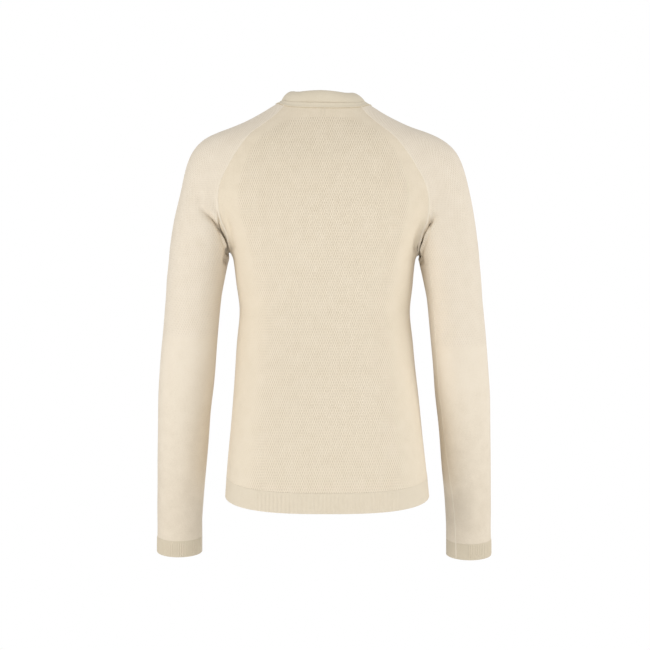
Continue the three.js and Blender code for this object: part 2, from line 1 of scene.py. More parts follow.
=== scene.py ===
import math
import bpy
import numpy as np
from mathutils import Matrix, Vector


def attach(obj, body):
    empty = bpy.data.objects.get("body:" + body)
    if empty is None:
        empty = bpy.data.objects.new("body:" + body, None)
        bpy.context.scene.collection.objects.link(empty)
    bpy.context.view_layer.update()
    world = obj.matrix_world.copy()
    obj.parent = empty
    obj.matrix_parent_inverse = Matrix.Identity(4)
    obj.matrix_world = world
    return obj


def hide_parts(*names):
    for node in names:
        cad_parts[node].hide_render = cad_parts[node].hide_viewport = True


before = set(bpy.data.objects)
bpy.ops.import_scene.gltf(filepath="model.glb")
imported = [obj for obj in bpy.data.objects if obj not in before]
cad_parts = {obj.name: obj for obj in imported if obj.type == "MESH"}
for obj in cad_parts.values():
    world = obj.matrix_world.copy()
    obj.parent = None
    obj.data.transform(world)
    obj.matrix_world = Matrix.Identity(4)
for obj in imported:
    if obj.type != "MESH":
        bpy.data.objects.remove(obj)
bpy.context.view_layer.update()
mm = 0.001

# The worn form, as in the part's source. Millimetres, +Z up, front to -Y, wearer's left to +X.
trunkForm = {
    "z": [34, 18, 7, 1, -6, -14.7, -23, -32, -40, -50, -66, -90,
          -120, -155, -190, -226, -262, -300, -345, -403, -462, -520, -575, -620],
    "half": [50, 53, 58.5, 69.5, 82, 99, 119, 144.5, 166, 184, 187, 188,
             184, 164, 146, 133, 129, 125, 129, 134, 139.5, 145, 149.5, 150.5],
    "back": [50, 53, 57, 58, 60, 64, 68, 73, 77, 82, 89, 97,
             102, 103, 99, 94, 88, 84, 87, 96, 104, 108, 110, 110],
    "front": [44, 46, 48, 49.5, 51, 53, 56.5, 60, 63.5, 68.5, 76.5, 88,
              99, 109, 113, 110, 101, 95, 95, 99, 104, 108, 110, 110],
    "square": [2, 2, 2, 2, 2, 2, 2, 2, 2.05, 2.1, 2.15, 2.2,
               2.3, 2.45, 2.6, 2.6, 2.45, 2.25, 2.25, 2.3, 2.45, 2.65, 2.8, 2.8],
}
armForm = {
    "z": [-30, -50, -66, -90, -120, -160, -200, -226, -255, -285, -344, -403, -462, -520, -579, -620, -680],
    "out": [135, 146, 152, 158, 165, 172.5, 179, 183.5, 188, 191.8, 197.3, 202, 206.6, 210, 213, 214.5, 215.5],
    "fore": [4, 4, 4, 5, 6, 7, 8, 8, 9, 9, 7, -1, -11, -21, -31, -38, -49],
    "half": [4, 28, 38, 46, 48, 48, 46.5, 44.2, 42.4, 40.6, 40.3, 40.4, 38.4, 36.5, 34.1, 33.3, 33.6],
    "deep": [5, 30, 41, 49, 52, 53, 52, 51, 49, 47, 44.5, 43, 41, 38, 34.5, 32.5, 32.5],
}
joinForm = {"z": [0, -100, -150, -190, -215, -700], "soft": [40, 34, 22, 9, 4, 4]}
neckForm = {"turn": [-40, 0, 40, 78, 100, 118, 135, 154, 180, 206],
            "z": [1, -0.5, 1, 6, 4.5, 0, -12, -29, -39, -29]}
lay = {"leanAtNeck": 4.2, "leanPerDrop": 0.0128, "armsMiddle": 1.2, "armTop": -62, "armTopSlope": 1.6,
       "rightShoulderDrop": 4.4, "rightNeckDrop": 2.2, "leftDrop": 3, "leftInwards": 3.4,
       "leftHeights": (-195, -120), "leftOuts": (80, 150), "dropOuts": (70, 130)}
lengths = {"armpit": 215, "armpitFore": 2, "chest": 224, "biceps": 234, "hem": 539, "hemBand": 29.5,
           "hemDipBehind": 16, "hemDipBoth": 6, "cuffSeam": 634.5, "cuff": 24, "forearmTilt": 0.2}
cloth = {"thick": 1.5, "bandThick": 2.0, "collarThick": 2.8, "seamGap": 0.1}


def smoothCurve(at, values):
    # A curve through the rows that never overshoots them
    order = np.argsort(at)
    x, y = np.array(at, float)[order], np.array(values, float)[order]
    slope = np.diff(y) / np.diff(x)
    tangent = np.concatenate([[slope[0]], np.zeros(len(x) - 2), [slope[-1]]])
    same = slope[:-1] * slope[1:] > 0
    both = np.where(same, slope[:-1] + slope[1:], 1)
    tangent[1:-1] = np.where(same, 2 * slope[:-1] * slope[1:] / both, 0)
    fine = np.linspace(x[0], x[-1], 6000)
    i = np.clip(np.searchsorted(x, fine, side="right") - 1, 0, len(x) - 2)
    span = x[i + 1] - x[i]
    t = (fine - x[i]) / span
    line = (y[i] * (1 + 2 * t) * (1 - t) ** 2 + tangent[i] * span * t * (1 - t) ** 2
            + y[i + 1] * t * t * (3 - 2 * t) + tangent[i + 1] * span * t * t * (t - 1))
    return lambda q: np.interp(q, fine, line)


trunk = {name: smoothCurve(trunkForm["z"], trunkForm[name]) for name in trunkForm}
arm = {name: smoothCurve(armForm["z"], armForm[name]) for name in armForm}
softness = smoothCurve(joinForm["z"], joinForm["soft"])
neckHeight = smoothCurve(neckForm["turn"], neckForm["z"])


def ease(low, high, value):
    t = np.clip((np.asarray(value, float) - low) / (high - low), 0, 1)
    return t * t * (3 - 2 * t)


def leanAt(z):
    return lay["leanAtNeck"] + lay["leanPerDrop"] * np.minimum(0, z)


def pastOval(x, y, half, deep, square):
    away = np.hypot(x, y) + 1e-6
    reach = ((np.abs(x) / half) ** square + (np.abs(y) / deep) ** square) ** (1 / square)
    return away * (1 - 1 / np.maximum(reach, 1e-6))


def formAt(p):
    x, y, z = p[..., 0], p[..., 1], p[..., 2]
    atLeft = np.where(x > 0, ease(*lay["leftHeights"], z), 0.0)
    narrowed = atLeft * lay["leftInwards"] * ease(*lay["leftOuts"], x)
    outTrunk = np.abs(x + narrowed - leanAt(z))
    outArms = np.abs(x + narrowed - lay["armsMiddle"])
    lowered = np.where(x < 0, lay["rightShoulderDrop"], atLeft * lay["leftDrop"])
    trunkZ = z + lowered * ease(*lay["dropOuts"], outTrunk)
    armZ = z + lowered
    deep = np.where(y > 0, trunk["back"](trunkZ), trunk["front"](trunkZ))
    body = pastOval(outTrunk, y, trunk["half"](trunkZ), deep, trunk["square"](trunkZ))
    above = lay["armTopSlope"] * np.maximum(0, armZ - lay["armTop"])
    fromArm = outArms - arm["out"](armZ)
    limb = pastOval(fromArm, y - arm["fore"](armZ), arm["half"](armZ), arm["deep"](armZ), 2.0)
    limb = limb + above
    soft = softness(z)
    mix = np.clip(0.5 + 0.5 * (limb - body) / soft, 0, 1)
    return limb * (1 - mix) + body * mix - soft * mix * (1 - mix)


def slopeAt(p):
    step = 0.4
    return np.stack([formAt(p + d) - formAt(p - d) for d in np.eye(3) * step], axis=-1) / (2 * step)


def outwardAt(p):
    slope = slopeAt(p)
    return slope / np.linalg.norm(slope, axis=-1, keepdims=True)


def settle(p, turns=14):
    q = np.array(p, float)
    for _ in range(turns):
        slope = slopeAt(q)
        move = -formAt(q) / (slope ** 2).sum(-1)
        q = q + slope * np.clip(move, -12, 12)[..., None]
    return q


def nearArmpit(p):
    return (p[..., 2] < -140) & (np.abs(p[..., 0]) > 100)


def firstOut(start, along, far):
    # First place on each ray where the form ends
    inside = np.full(along.shape[:-1], 4.0)
    going = np.ones(along.shape[:-1], bool)
    for _ in range(150):
        going = going & (inside < far) & (formAt(start + along * (inside + 2)[..., None]) < 0)
        if not going.any():
            break
        inside = np.where(going, inside + 2, inside)
    outside = inside + 2
    for _ in range(22):
        middle = (inside + outside) / 2
        within = formAt(start + along * middle[..., None]) < 0
        inside, outside = np.where(within, middle, inside), np.where(within, outside, middle)
    return start + along * inside[..., None], inside


def reachForm(start, guess):
    along = guess - start
    length = np.linalg.norm(along, axis=-1)
    hit, _ = firstOut(start, along / length[..., None], length + 30)
    stray = np.linalg.norm(hit - guess, axis=-1)
    return np.where((stray > np.where(nearArmpit(guess), 14, 60))[..., None], settle(guess), hit)


def seenPoint(x, z, face):
    inside, outside = 0.0, 170.0 * face
    for _ in range(40):
        middle = (inside + outside) / 2
        if formAt(np.array([x, middle, z])) < 0:
            inside = middle
        else:
            outside = middle
    return np.array([x, inside, z])


def neckPoint(turn, side):
    angle = np.radians(np.asarray(turn, float))
    z = neckHeight(turn) - (lay["rightNeckDrop"] * np.sin(angle) if side < 0 else 0)
    start = np.stack([leanAt(z), 0 * z, z], -1)
    along = np.stack([side * np.sin(angle), np.cos(angle), 0 * z], -1)
    return firstOut(start, along, np.full(z.shape, 110.0))[0]


def valleyPoint(side, y):
    outs = np.arange(120, 172, 0.25)

    def deepest(z):
        row = np.stack([side * outs, np.full(len(outs), y), np.full(len(outs), z)], -1)
        values = formAt(row)
        k = int(values.argmax())
        return side * outs[k], values[k]

    openZ, closedZ = -lengths["armpit"] - 20, -110.0
    for _ in range(18):
        middle = (openZ + closedZ) / 2
        if deepest(middle)[1] > 0:
            openZ = middle
        else:
            closedZ = middle
    return settle(np.array([deepest(openZ)[0], y, openZ]))


def curveThrough(points, shares):
    # Smooth curve through the points, read at shares of its length
    points = np.array(points, float)
    ends = [2 * points[0] - points[1], *points, 2 * points[-1] - points[-2]]
    line = []
    for i in range(len(points) - 1):
        p0, p1, p2, p3 = ends[i:i + 4]
        d0, d1, d2 = [max(np.linalg.norm(b - a), 1e-4) ** 0.5 for a, b in ((p0, p1), (p1, p2), (p2, p3))]
        t1 = ((p1 - p0) / d0 - (p2 - p0) / (d0 + d1) + (p2 - p1) / d1) * d1
        t2 = ((p2 - p1) / d1 - (p3 - p1) / (d1 + d2) + (p3 - p2) / d2) * d1
        t = np.linspace(0, 1, 60, endpoint=i == len(points) - 2)[:, None]
        line.append(p1 + t1 * t + (3 * (p2 - p1) - 2 * t1 - t2) * t ** 2 + (2 * (p1 - p2) + t1 + t2) * t ** 3)
    line = np.concatenate(line)
    run = np.concatenate([[0], np.cumsum(np.linalg.norm(np.diff(line, axis=0), axis=1))])
    return np.stack([np.interp(np.asarray(shares) * run[-1], run, line[:, k]) for k in range(3)], -1)


# Raglan seams, seen from behind and from in front
raglan = {
    "behind": {"face": 1, "turn": 54, "reach": 45, "valleySteps": 4,
               "out": [71.5, 96.6, 118.3, 138, 148.5, 152.3, 151.5],
               "z": [-20, -38.6, -61.8, -93.5, -114.8, -132, -160]},
    "inFront": {"face": -1, "turn": 126, "reach": 43, "valleySteps": 4,
                "out": [71, 94, 114, 131, 144, 152],
                "z": [-27, -53, -80, -107, -131, -149]},
    "steps": 15, "neckSteps": 8, "collarSteps": 5,
}


def raglanSeam(rows, side):
    drop = lay["rightShoulderDrop"] if side < 0 else 0
    known = []
    for out, z in zip(rows["out"], rows["z"]):
        low = z - drop * ease(40, 110, out)
        known.append(seenPoint(leanAt(low) + side * out, low, rows["face"]))
    steps = rows["valleySteps"]
    valley = [valleyPoint(side, lengths["armpitFore"] + rows["face"] * rows["reach"] * (1 - i / steps))
              for i in range(steps + 1)]
    t = np.arange(raglan["steps"] - steps) / (raglan["steps"] - steps)
    upper = curveThrough([neckPoint(rows["turn"], side), *known, valley[0]], t * (1.1 - 0.1 * t))
    return np.concatenate([upper[:1], settle(upper[1:]), valley])


def neckRow(start, end, steps, side):
    return neckPoint(start + (end - start) * np.arange(steps) / steps, side)


def armholeLoop(side):
    behind, inFront = raglan["behind"], raglan["inFront"]
    neck = neckRow(behind["turn"], inFront["turn"], raglan["neckSteps"], side)
    front, back = raglanSeam(inFront, side), raglanSeam(behind, side)
    return {"front": front, "back": back, "all": np.concatenate([neck, front[:-1], back[::-1][:-1]])}


def acrossEdge(loop, aims):
    along = np.roll(loop, -1, 0) - np.roll(loop, 1, 0)
    across = np.cross(along, outwardAt(loop))
    across /= np.linalg.norm(across, axis=1, keepdims=True)
    votes = np.sign((across * (aims - loop)).sum(1)).sum()
    return -across if votes < 0 else across


def evenOut(columns, kept):
    now = columns
    for _ in range(2):
        middle = (np.roll(now, 1, 0) + np.roll(now, -1, 0))[:, 1:-1] + now[:, :-2] + now[:, 2:]
        moved = settle(middle * 0.25 * 0.6 + now[:, 1:-1] * 0.4)
        stay = kept(now[:, 1:-1])[..., None]
        now = np.concatenate([now[:, :1], np.where(stay, now[:, 1:-1], moved), now[:, -1:]], 1)
    return now


def hemLine(share):
    return -lengths["hem"] - lengths["hemDipBehind"] * share - lengths["hemDipBoth"] * share * share


def trunkPoint(share, drop=0.0, atHem=False, z=0.0):
    # A point on the trunk at a share of the way round from the middle of the back, leftwards
    turn = np.asarray(share, float) * 2 * math.pi
    s, c = np.sin(turn), np.cos(turn)
    height = np.full(turn.shape, float(z) if not atHem else -lengths["hem"] - 10.0)
    for _ in range(4):
        deep = np.where(c > 0, trunk["back"](height), trunk["front"](height))
        square = trunk["square"](height)
        away = ((np.abs(s) / trunk["half"](height)) ** square + (np.abs(c) / deep) ** square) ** (-1 / square)
        if atHem:
            height = hemLine(c * away / deep) + drop
    return np.stack([leanAt(height) + s * away, c * away, height], -1)


def roundTrunk(z):
    shares = np.linspace(0, 1, 4001)
    points = trunkPoint(shares, z=z)
    run = np.concatenate([[0], np.cumsum(np.linalg.norm(np.diff(points, axis=0), axis=1))])
    return run[-1], lambda length: np.interp(np.asarray(length) % run[-1], run, shares)


def sleevePoint(side, angle, z, tilt):
    here = z + 0 * np.asarray(angle, float)
    for _ in range(3):
        here = z + tilt * arm["deep"](here) * np.sin(angle)
    out = arm["out"](here) + arm["half"](here) * np.cos(angle)
    y = arm["fore"](here) - arm["deep"](here) * np.sin(angle)
    drop = lay["rightShoulderDrop"] if side < 0 else 0
    return np.stack([lay["armsMiddle"] + side * out, y, here - drop], -1)


def coarseBody(left, right):
    # The body's columns of points, from the hem line up to the neck and the raglan seams
    n, back, front = raglan["collarSteps"], raglan["behind"]["turn"], raglan["inFront"]["turn"]
    edge = np.concatenate([
        neckRow(0, back, n, 1), left["back"][:-1], left["front"][::-1][:-1], neckRow(front, 180, n, 1),
        neckRow(180, front, n, -1), right["front"][:-1], right["back"][::-1][:-1], neckRow(back, 0, n, -1)])
    total, shareAt = roundTrunk(-lengths["chest"])
    shares = shareAt(total * np.arange(len(edge)) / len(edge))
    chest = settle(trunkPoint(shares, z=-lengths["chest"]))
    end = edge + acrossEdge(edge, chest) * cloth["seamGap"] / 2
    upper = [chest]
    for t in (0.15, 0.3, 0.45, 0.59, 0.72, 0.84, 0.94):
        guess = chest + (end - chest) * t
        start = np.stack([leanAt(guess[:, 2]), 0 * guess[:, 2], guess[:, 2]], -1)
        upper.append(reachForm(start, guess))
    upper = evenOut(np.stack(upper + [end], 1), nearArmpit)
    lower = [trunkPoint(shares, cloth["seamGap"] / 2, atHem=True)]
    lower += [trunkPoint(shares, z=z) for z in (-500, -455, -403, -345, -292, -255)]
    return np.concatenate([np.stack(lower, 1), upper], 1)


def coarseSleeve(side, armhole):
    loop = armhole["all"]
    angles = 2 * math.pi * (np.arange(len(loop)) - raglan["neckSteps"] / 2) / len(loop)
    biceps = settle(sleevePoint(side, angles, -lengths["biceps"], 0))
    top = loop + acrossEdge(loop, biceps) * cloth["seamGap"] / 2
    drop = lay["rightShoulderDrop"] if side < 0 else 0
    knots = [(62, 0, -62), (110, 4, -82), (150, 6, -118), (174, 7, -172), (183.5, 8, -234)]
    shares = np.arange(81) / 80
    axis = curveThrough([(lay["armsMiddle"] + side * a, b, c - drop) for a, b, c in knots], shares)
    tangents = np.gradient(axis, axis=0)
    tangents /= np.linalg.norm(tangents, axis=1, keepdims=True)

    def nearest(p):
        return np.linalg.norm(p[:, None] - axis[None], axis=-1).argmin(1)

    reach = np.linalg.norm(biceps - top, axis=1, keepdims=True) * 1.1
    b1 = top + tangents[nearest(top)] * reach / 3
    b2 = biceps - np.array([side * 0.12, 0, -1.0]) * reach / 3
    t = np.linspace(0, 1, 201)[None, :, None]
    path = (top[:, None] * (1 - t) ** 3 + 3 * b1[:, None] * t * (1 - t) ** 2
            + 3 * b2[:, None] * t * t * (1 - t) + biceps[:, None] * t ** 3)
    run = np.concatenate([np.zeros((len(top), 1)),
                          np.cumsum(np.linalg.norm(np.diff(path, axis=1), axis=2), axis=1)], 1)
    upper = [top]
    for share in (0.09, 0.19, 0.29, 0.39, 0.48, 0.56, 0.64, 0.72, 0.81, 0.91):
        guess = np.array([[np.interp(share * r[-1], r, line[:, k]) for k in range(3)]
                          for r, line in zip(run, path)])
        upper.append(reachForm(axis[nearest(guess)], guess))
    upper = evenOut(np.stack(upper + [biceps], 1), lambda p: np.zeros(p.shape[:-1], bool))
    lower = []
    for z in (-270, -310, -352, -398, -445, -495, -545, -592):
        tilt = lengths["forearmTilt"] * ease(-lengths["biceps"], -lengths["cuffSeam"] + 120, z)
        lower.append(sleevePoint(side, angles, z, tilt))
    lower.append(sleevePoint(side, angles, -lengths["cuffSeam"] + cloth["seamGap"] / 2, lengths["forearmTilt"]))
    return np.concatenate([upper, np.stack(lower, 1)], 1)


def cubicRead(values, at, closed):
    # Smooth reading between rows of points, at fractional row numbers
    n = len(values)
    i = np.floor(at).astype(int)
    i = i % n if closed else np.clip(i, 0, n - 2)
    t = (at - np.floor(at) if closed else at - i)
    t = t.reshape((-1,) + (1,) * (values.ndim - 1))

    def row(k):
        if closed:
            return values[k % n]
        inner = values[np.clip(k, 0, n - 1)]
        low = (k < 0).reshape(t.shape)
        high = (k > n - 1).reshape(t.shape)
        inner = np.where(low, 2 * values[0] - values[1], inner)
        return np.where(high, 2 * values[-1] - values[-2], inner)

    a, b, c, d = row(i - 1), row(i), row(i + 1), row(i + 2)
    return b + 0.5 * t * (c - a + t * (2 * a - 5 * b + 4 * c - d + t * (3 * (b - c) + d - a)))


def refine(coarse, perColumn, spacing, closeSpacing, closeLength, closeAtEnd):
    # Finer columns and rows, closer together near the armhole, put back on the form
    columns = cubicRead(coarse, np.arange(len(coarse) * perColumn) / perColumn, True)
    gaps = np.linalg.norm(np.diff(coarse, axis=1), axis=2).mean(0)
    run = np.concatenate([[0], np.cumsum(gaps)])
    close = np.arange(0, closeLength, closeSpacing)
    stops = np.concatenate([close, np.linspace(closeLength, run[-1], int((run[-1] - closeLength) / spacing))])
    if closeAtEnd:
        stops = run[-1] - stops[::-1]
    at = np.interp(stops, run, np.arange(len(run)))
    rough = np.moveaxis(cubicRead(np.moveaxis(columns, 1, 0), at, False), 0, 1)
    fine = settle(rough, 4)
    far = np.linalg.norm(fine - rough, axis=-1) > 5
    fine = np.where(far[..., None], rough, fine)
    fine[:, 0], fine[:, -1] = rough[:, 0], rough[:, -1]
    return fine


def closeEnds(grid):
    # One more row hard by each end, so that the cut edge shades crisply
    return np.concatenate([grid[:, :1], grid[:, :1] * 0.88 + grid[:, 1:2] * 0.12, grid[:, 1:-1],
                           grid[:, -1:] * 0.88 + grid[:, -2:-1] * 0.12, grid[:, -1:]], 1)


def tubeMesh(name, outer, inner, knit):
    # A closed cloth wall from two grids of points, columns first, both from one end to the other.
    # knit: wale at this column and at the next one, course and mesh share, for the outer grid
    outer, knit = closeEnds(outer), [closeEnds(grid) for grid in knit]
    rings = np.concatenate([outer, inner[:, ::-1]], 1)
    columns, rows = rings.shape[:2]
    index = np.arange(columns * rows).reshape(columns, rows)
    a, b = index, np.roll(index, -1, 0)
    faces = np.stack([a, b, np.roll(b, -1, 1), np.roll(a, -1, 1)], -1).reshape(-1, 4)
    corners = rings.reshape(-1, 3)
    p = corners[faces]
    middle = corners.mean(0)
    turned = (np.cross(p[:, 2] - p[:, 0], p[:, 3] - p[:, 1]) * (p.mean(1) - middle)).sum() < 0
    if turned:
        faces = faces[:, ::-1]
    mesh = bpy.data.meshes.new(name)
    mesh.vertices.add(len(corners))
    mesh.vertices.foreach_set("co", (corners * mm).ravel())
    mesh.loops.add(faces.size)
    mesh.loops.foreach_set("vertex_index", faces.ravel())
    mesh.polygons.add(len(faces))
    mesh.polygons.foreach_set("loop_start", np.arange(0, faces.size, 4))
    mesh.polygons.foreach_set("use_smooth", np.ones(len(faces), bool))
    mesh.update()
    keep = np.unique(np.linspace(0, outer.shape[1] - 1, inner.shape[1]).astype(int))
    here, there, course, share = [np.concatenate([grid, grid[:, keep][:, ::-1]], 1) for grid in knit]
    down = np.roll(course, -1, 1)
    wale = np.stack([here, there, np.roll(there, -1, 1), np.roll(here, -1, 1)], -1).reshape(-1, 4)
    courses = np.stack([course, np.roll(course, -1, 0), np.roll(down, -1, 0), down], -1).reshape(-1, 4)
    if turned:
        wale, courses = wale[:, ::-1], courses[:, ::-1]
    layers = (("wale", wale, "CORNER"), ("course", courses, "CORNER"), ("mesh", share, "POINT"))
    for key, values, domain in layers:
        layer = mesh.attributes.new(key, "FLOAT", domain)
        layer.data.foreach_set("value", values.ravel().astype(np.float32))
    piece = bpy.data.objects.new(name, mesh)
    bpy.context.scene.collection.objects.link(piece)
    return piece


def finishPiece(piece, material, nodes=()):
    piece.data.materials.append(material)
    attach(piece, "root")
    if nodes:
        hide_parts(*nodes)
    return piece


def crease(on, side, face, pinch, ridge, rows):
    # side 1 is the wearer's left, face 1 is behind. Each row: distance out, height, depth, half breadth, in mm.
    # pinch draws the cloth together over the trough, ridge lifts it on the far side
    out, z, depth, breadth = zip(*rows)
    return {"on": on, "side": side, "face": face, "pinch": pinch, "ridge": ridge,
            "path": list(zip(out, z)), "depth": list(depth), "breadth": list(breadth)}


# Creases
creases = [
    # behind, wearer's left: the deep crease out of the armpit first, then its soft ends and the dimples
    crease("sleeve", 1, 1, 0.84, 2.0,
           [(141, -193, 8, 3), (147.5, -184, 11, 3.2), (156, -174, 9, 3.8),
            (165, -165, 6.2, 4.8), (175, -155, 3.4, 6), (183, -144, 0, 8)]),
    crease("sleeve", 1, 1, 0.4, 0.2,
           [(138.5, -212, 7, 3.6), (140.5, -222, 8.4, 3.6), (143.5, -237, 0, 3.6)]),
    crease("sleeve", 1, 1, 0.3, 0.7,
           [(172, -128, 0, 5), (179, -138, 2.2, 5), (184, -150, 0, 6)]),
    crease("body", 1, 1, 0.4, 0.5,
           [(149.5, -160, 0, 3), (150.5, -170, 2.6, 3), (150.5, -181, 0, 3)]),
    crease("body", 1, 1, 0.2, 0.4,
           [(142, -150, 0, 5), (141.5, -165, 1.2, 5), (137.5, -185, 2.4, 5), (133, -208, 2.4, 5)]),
    crease("sleeve", 1, 1, 0, 0.3,
           [(166, -214, 0, 8), (178, -200, 1.5, 9), (194, -190, 0, 10)]),
    # behind, wearer's right
    crease("sleeve", -1, 1, 0.82, 1.8,
           [(142.5, -188, 8, 3), (147, -181, 10, 3), (153, -174.5, 7, 3.4),
            (158, -169.5, 3.4, 4.6), (163, -162, 0, 6)]),
    crease("sleeve", -1, 1, 0.4, 0.2,
           [(138, -217, 5, 3.4), (140, -225, 4.6, 3.4), (142.5, -235, 0, 3.4)]),
    crease("sleeve", -1, 1, 0, 1.2,
           [(167, -163, 0, 8), (174, -135, 2.2, 10), (180, -98, 0, 11)]),
    crease("body", -1, 1, 0.2, 0.4,
           [(133.5, -210, 3.2, 5), (136, -196, 3.0, 5), (140, -183, 1.6, 5), (145, -168, 0, 5)]),
    crease("sleeve", -1, 1, 0.2, 0.5,
           [(166, -307, 0, 4), (174, -295, 1.5, 5), (183, -281, 0, 6)]),
    crease("sleeve", -1, 1, 0.2, 0.5,
           [(175, -350, 0, 5), (181, -332, 1.2, 6), (185, -318, 0, 6)]),
    # in front, like those behind
    crease("sleeve", 1, -1, 0.6, 1.4,
           [(144, -190, 4, 4.4), (152, -178, 7, 4.6), (160, -166, 5.4, 5.4),
            (167, -154, 3.0, 7), (173, -141, 0, 8)]),
    crease("sleeve", 1, -1, 0.2, 0.5,
           [(150, -230, 0, 6), (165, -216, 2.0, 7), (182, -207, 0, 8)]),
    crease("sleeve", -1, -1, 0.6, 1.4,
           [(146, -186, 4, 4.4), (153, -177, 7.4, 4.6), (160, -169, 5.0, 5.6),
            (166, -159, 2.6, 7), (170, -148, 0, 8)]),
    crease("sleeve", -1, -1, 0.2, 0.5,
           [(154, -246, 0, 6), (169, -229, 1.8, 7), (181, -221, 0, 8)]),
    crease("body", 1, -1, 0.1, 0.5,
           [(134, -200, 2.2, 6), (121, -187, 2.2, 8), (104, -180, 0, 10)]),
    crease("body", -1, -1, 0.1, 0.5,
           [(134, -203, 2.0, 6), (117, -190, 2.0, 8), (98, -185, 0, 10)]),
]


# Where the sleeve bulges over the seam by the armpit, both edges sink and the seam lies further out.
# Millimetres by height, for side and then face
seamSink = {"z": [-226, -218, -206, -194, -184, -176, -168],
            1: {1: [3, 9, 11, 10, 8, 4, 0], -1: [2, 5, 7, 6, 4, 1.5, 0]},
            -1: {1: [4, 10, 12, 11, 9, 4, 0], -1: [2, 5, 7, 7, 4.4, 1.5, 0]}}
seamOut = {"z": [-226, -213, -200, -188, -172, -155],
           1: [0, 3.5, 6.5, 6.4, 3.5, 0], -1: [0, 3.5, 6.4, 6.4, 4, 0]}
bodySlope = {"z": [-232, -216, -204, -190, -176], "deep": [0, 6, 4.4, 1.6, 0]}
turnedEdge = {"outReach": 14, "sinkReach": {"body": 2.6, "sleeve": 3.0}, "slopeReach": {"body": 7, "sleeve": 5},
              "bodyPull": 1.6, "bodyPullAt": 3, "bodyPullReach": 2.2,
              "lipRise": 1.6, "lipPull": 3.6, "lipAt": 6.4, "lipReach": 3.4, "fullDepth": 10}


def hump(distance, reach):
    return np.exp(-(distance / reach) ** 2)


def sinkMove(p, outward, fromSeam, on):
    # The body turns down at the seam, and the sleeve's edge turns under its own bulge
    edge = turnedEdge
    total = np.zeros(p.shape)
    slope = smoothCurve(bodySlope["z"], bodySlope["deep"])(p[..., 2])
    for side in (1, -1):
        here = p[..., 0] * side > 60
        over = smoothCurve(seamOut["z"], seamOut[side])(p[..., 2]) * here
        total[..., 0] += side * over * hump(fromSeam, edge["outReach"])
        for face in (1, -1):
            facing = here * ease(-2, 14, p[..., 1] * face)
            deep = smoothCurve(seamSink["z"], seamSink[side][face])(p[..., 2]) * facing
            total -= outward * (deep * hump(fromSeam, edge["sinkReach"][on]))[..., None]
            total -= outward * (slope * facing * hump(fromSeam, edge["slopeReach"][on]))[..., None]
            share = deep / edge["fullDepth"]
            if on == "body":
                pull = hump(fromSeam - edge["bodyPullAt"], edge["bodyPullReach"]) * share
                total[..., 0] += side * edge["bodyPull"] * pull
            else:
                lip = hump(fromSeam - edge["lipAt"], edge["lipReach"]) * share
                total += outward * (edge["lipRise"] * lip)[..., None]
                total[..., 0] -= side * edge["lipPull"] * lip
    return total


def creaseMove(p, outward, on):
    # How the creases move points of the cloth
    side = np.where(p[..., 0] > 0, 1, -1)
    out = np.abs(p[..., 0] - leanAt(p[..., 2]))
    z = p[..., 2]
    total = np.zeros(p.shape)
    margin = 32  # mm past the crease's own box
    for fold in creases:
        if fold["on"] != on:
            continue
        shares = np.linspace(0, 1, 60)
        path = curveThrough([(a, 0, b) for a, b in fold["path"]], shares)[:, [0, 2]]
        knots = np.linspace(0, 1, len(fold["path"]))
        depth = smoothCurve(knots, fold["depth"])(shares)
        breadth = smoothCurve(knots, fold["breadth"])(shares)
        box = (side == fold["side"]) & (p[..., 1] * fold["face"] > 0)
        box &= (out > path[:, 0].min() - margin) & (out < path[:, 0].max() + margin)
        box &= (z > path[:, 1].min() - margin) & (z < path[:, 1].max() + margin)
        gap = np.stack([out[box], z[box]], -1)[:, None] - path[None]
        away = np.linalg.norm(gap, axis=-1)
        k = away.argmin(1)
        every = np.arange(len(k))
        near, off, along = away[every, k], gap[every, k], np.gradient(path, axis=0)[k]
        turned = np.sign(along[:, 0] * off[:, 1] - along[:, 1] * off[:, 0]) * fold["side"]
        facing = ease(0, 18, p[..., 1][box] * fold["face"])
        share = hump(near, breadth[k]) * facing
        strength = depth[k] / max(fold["depth"])
        lip = hump(near * turned - 1.9 * breadth[k], 1.1 * breadth[k]) * strength
        lift = fold["ridge"] * lip * facing - depth[k] * share
        pull = (-fold["pinch"] * strength * share)[:, None] * off
        moved = outward[box] * lift[:, None]
        moved[:, 0] += fold["side"] * pull[:, 0]
        moved[:, 2] += pull[:, 1]
        total[box] += moved
    return total


def looseness(p, seed, reach):
    # Slow uneven swells of worn cloth
    rng = np.random.default_rng(seed)
    total = np.zeros(p.shape[:-1])
    for _ in range(9):
        k = rng.normal(size=3) / np.array([60, 60, 110]) * rng.uniform(0.7, 1.6)
        total += np.sin(p @ k * 2 * math.pi / 1.6 + rng.uniform(0, 6.28)) / 9
    return total * reach


print("points of the cloth")
armholes = {1: armholeLoop(1), -1: armholeLoop(-1)}
bodyCoarse = coarseBody(armholes[1], armholes[-1])
sleeveCoarse = {side: coarseSleeve(side, armholes[side]) for side in (1, -1)}


# Knitted wales run down the back and front from the middle of each, so their distance round is kept per point
sectionHeights = np.arange(-600, 21, 6.0)
sectionTurns = np.radians(np.arange(0, 361, 2.0))
rayStart = np.zeros((len(sectionHeights), len(sectionTurns), 3))
rayStart[..., 0], rayStart[..., 2] = leanAt(sectionHeights)[:, None], sectionHeights[:, None]
rayAlong = np.stack([np.sin(sectionTurns), np.cos(sectionTurns), 0 * sectionTurns], -1)[None] + 0 * rayStart
sectionPoints, _ = firstOut(rayStart, rayAlong, np.full(rayStart.shape[:2], 240.0))
sectionRun = np.concatenate([np.zeros((len(sectionHeights), 1)),
                             np.cumsum(np.linalg.norm(np.diff(sectionPoints, axis=1), axis=2), axis=1)], 1)


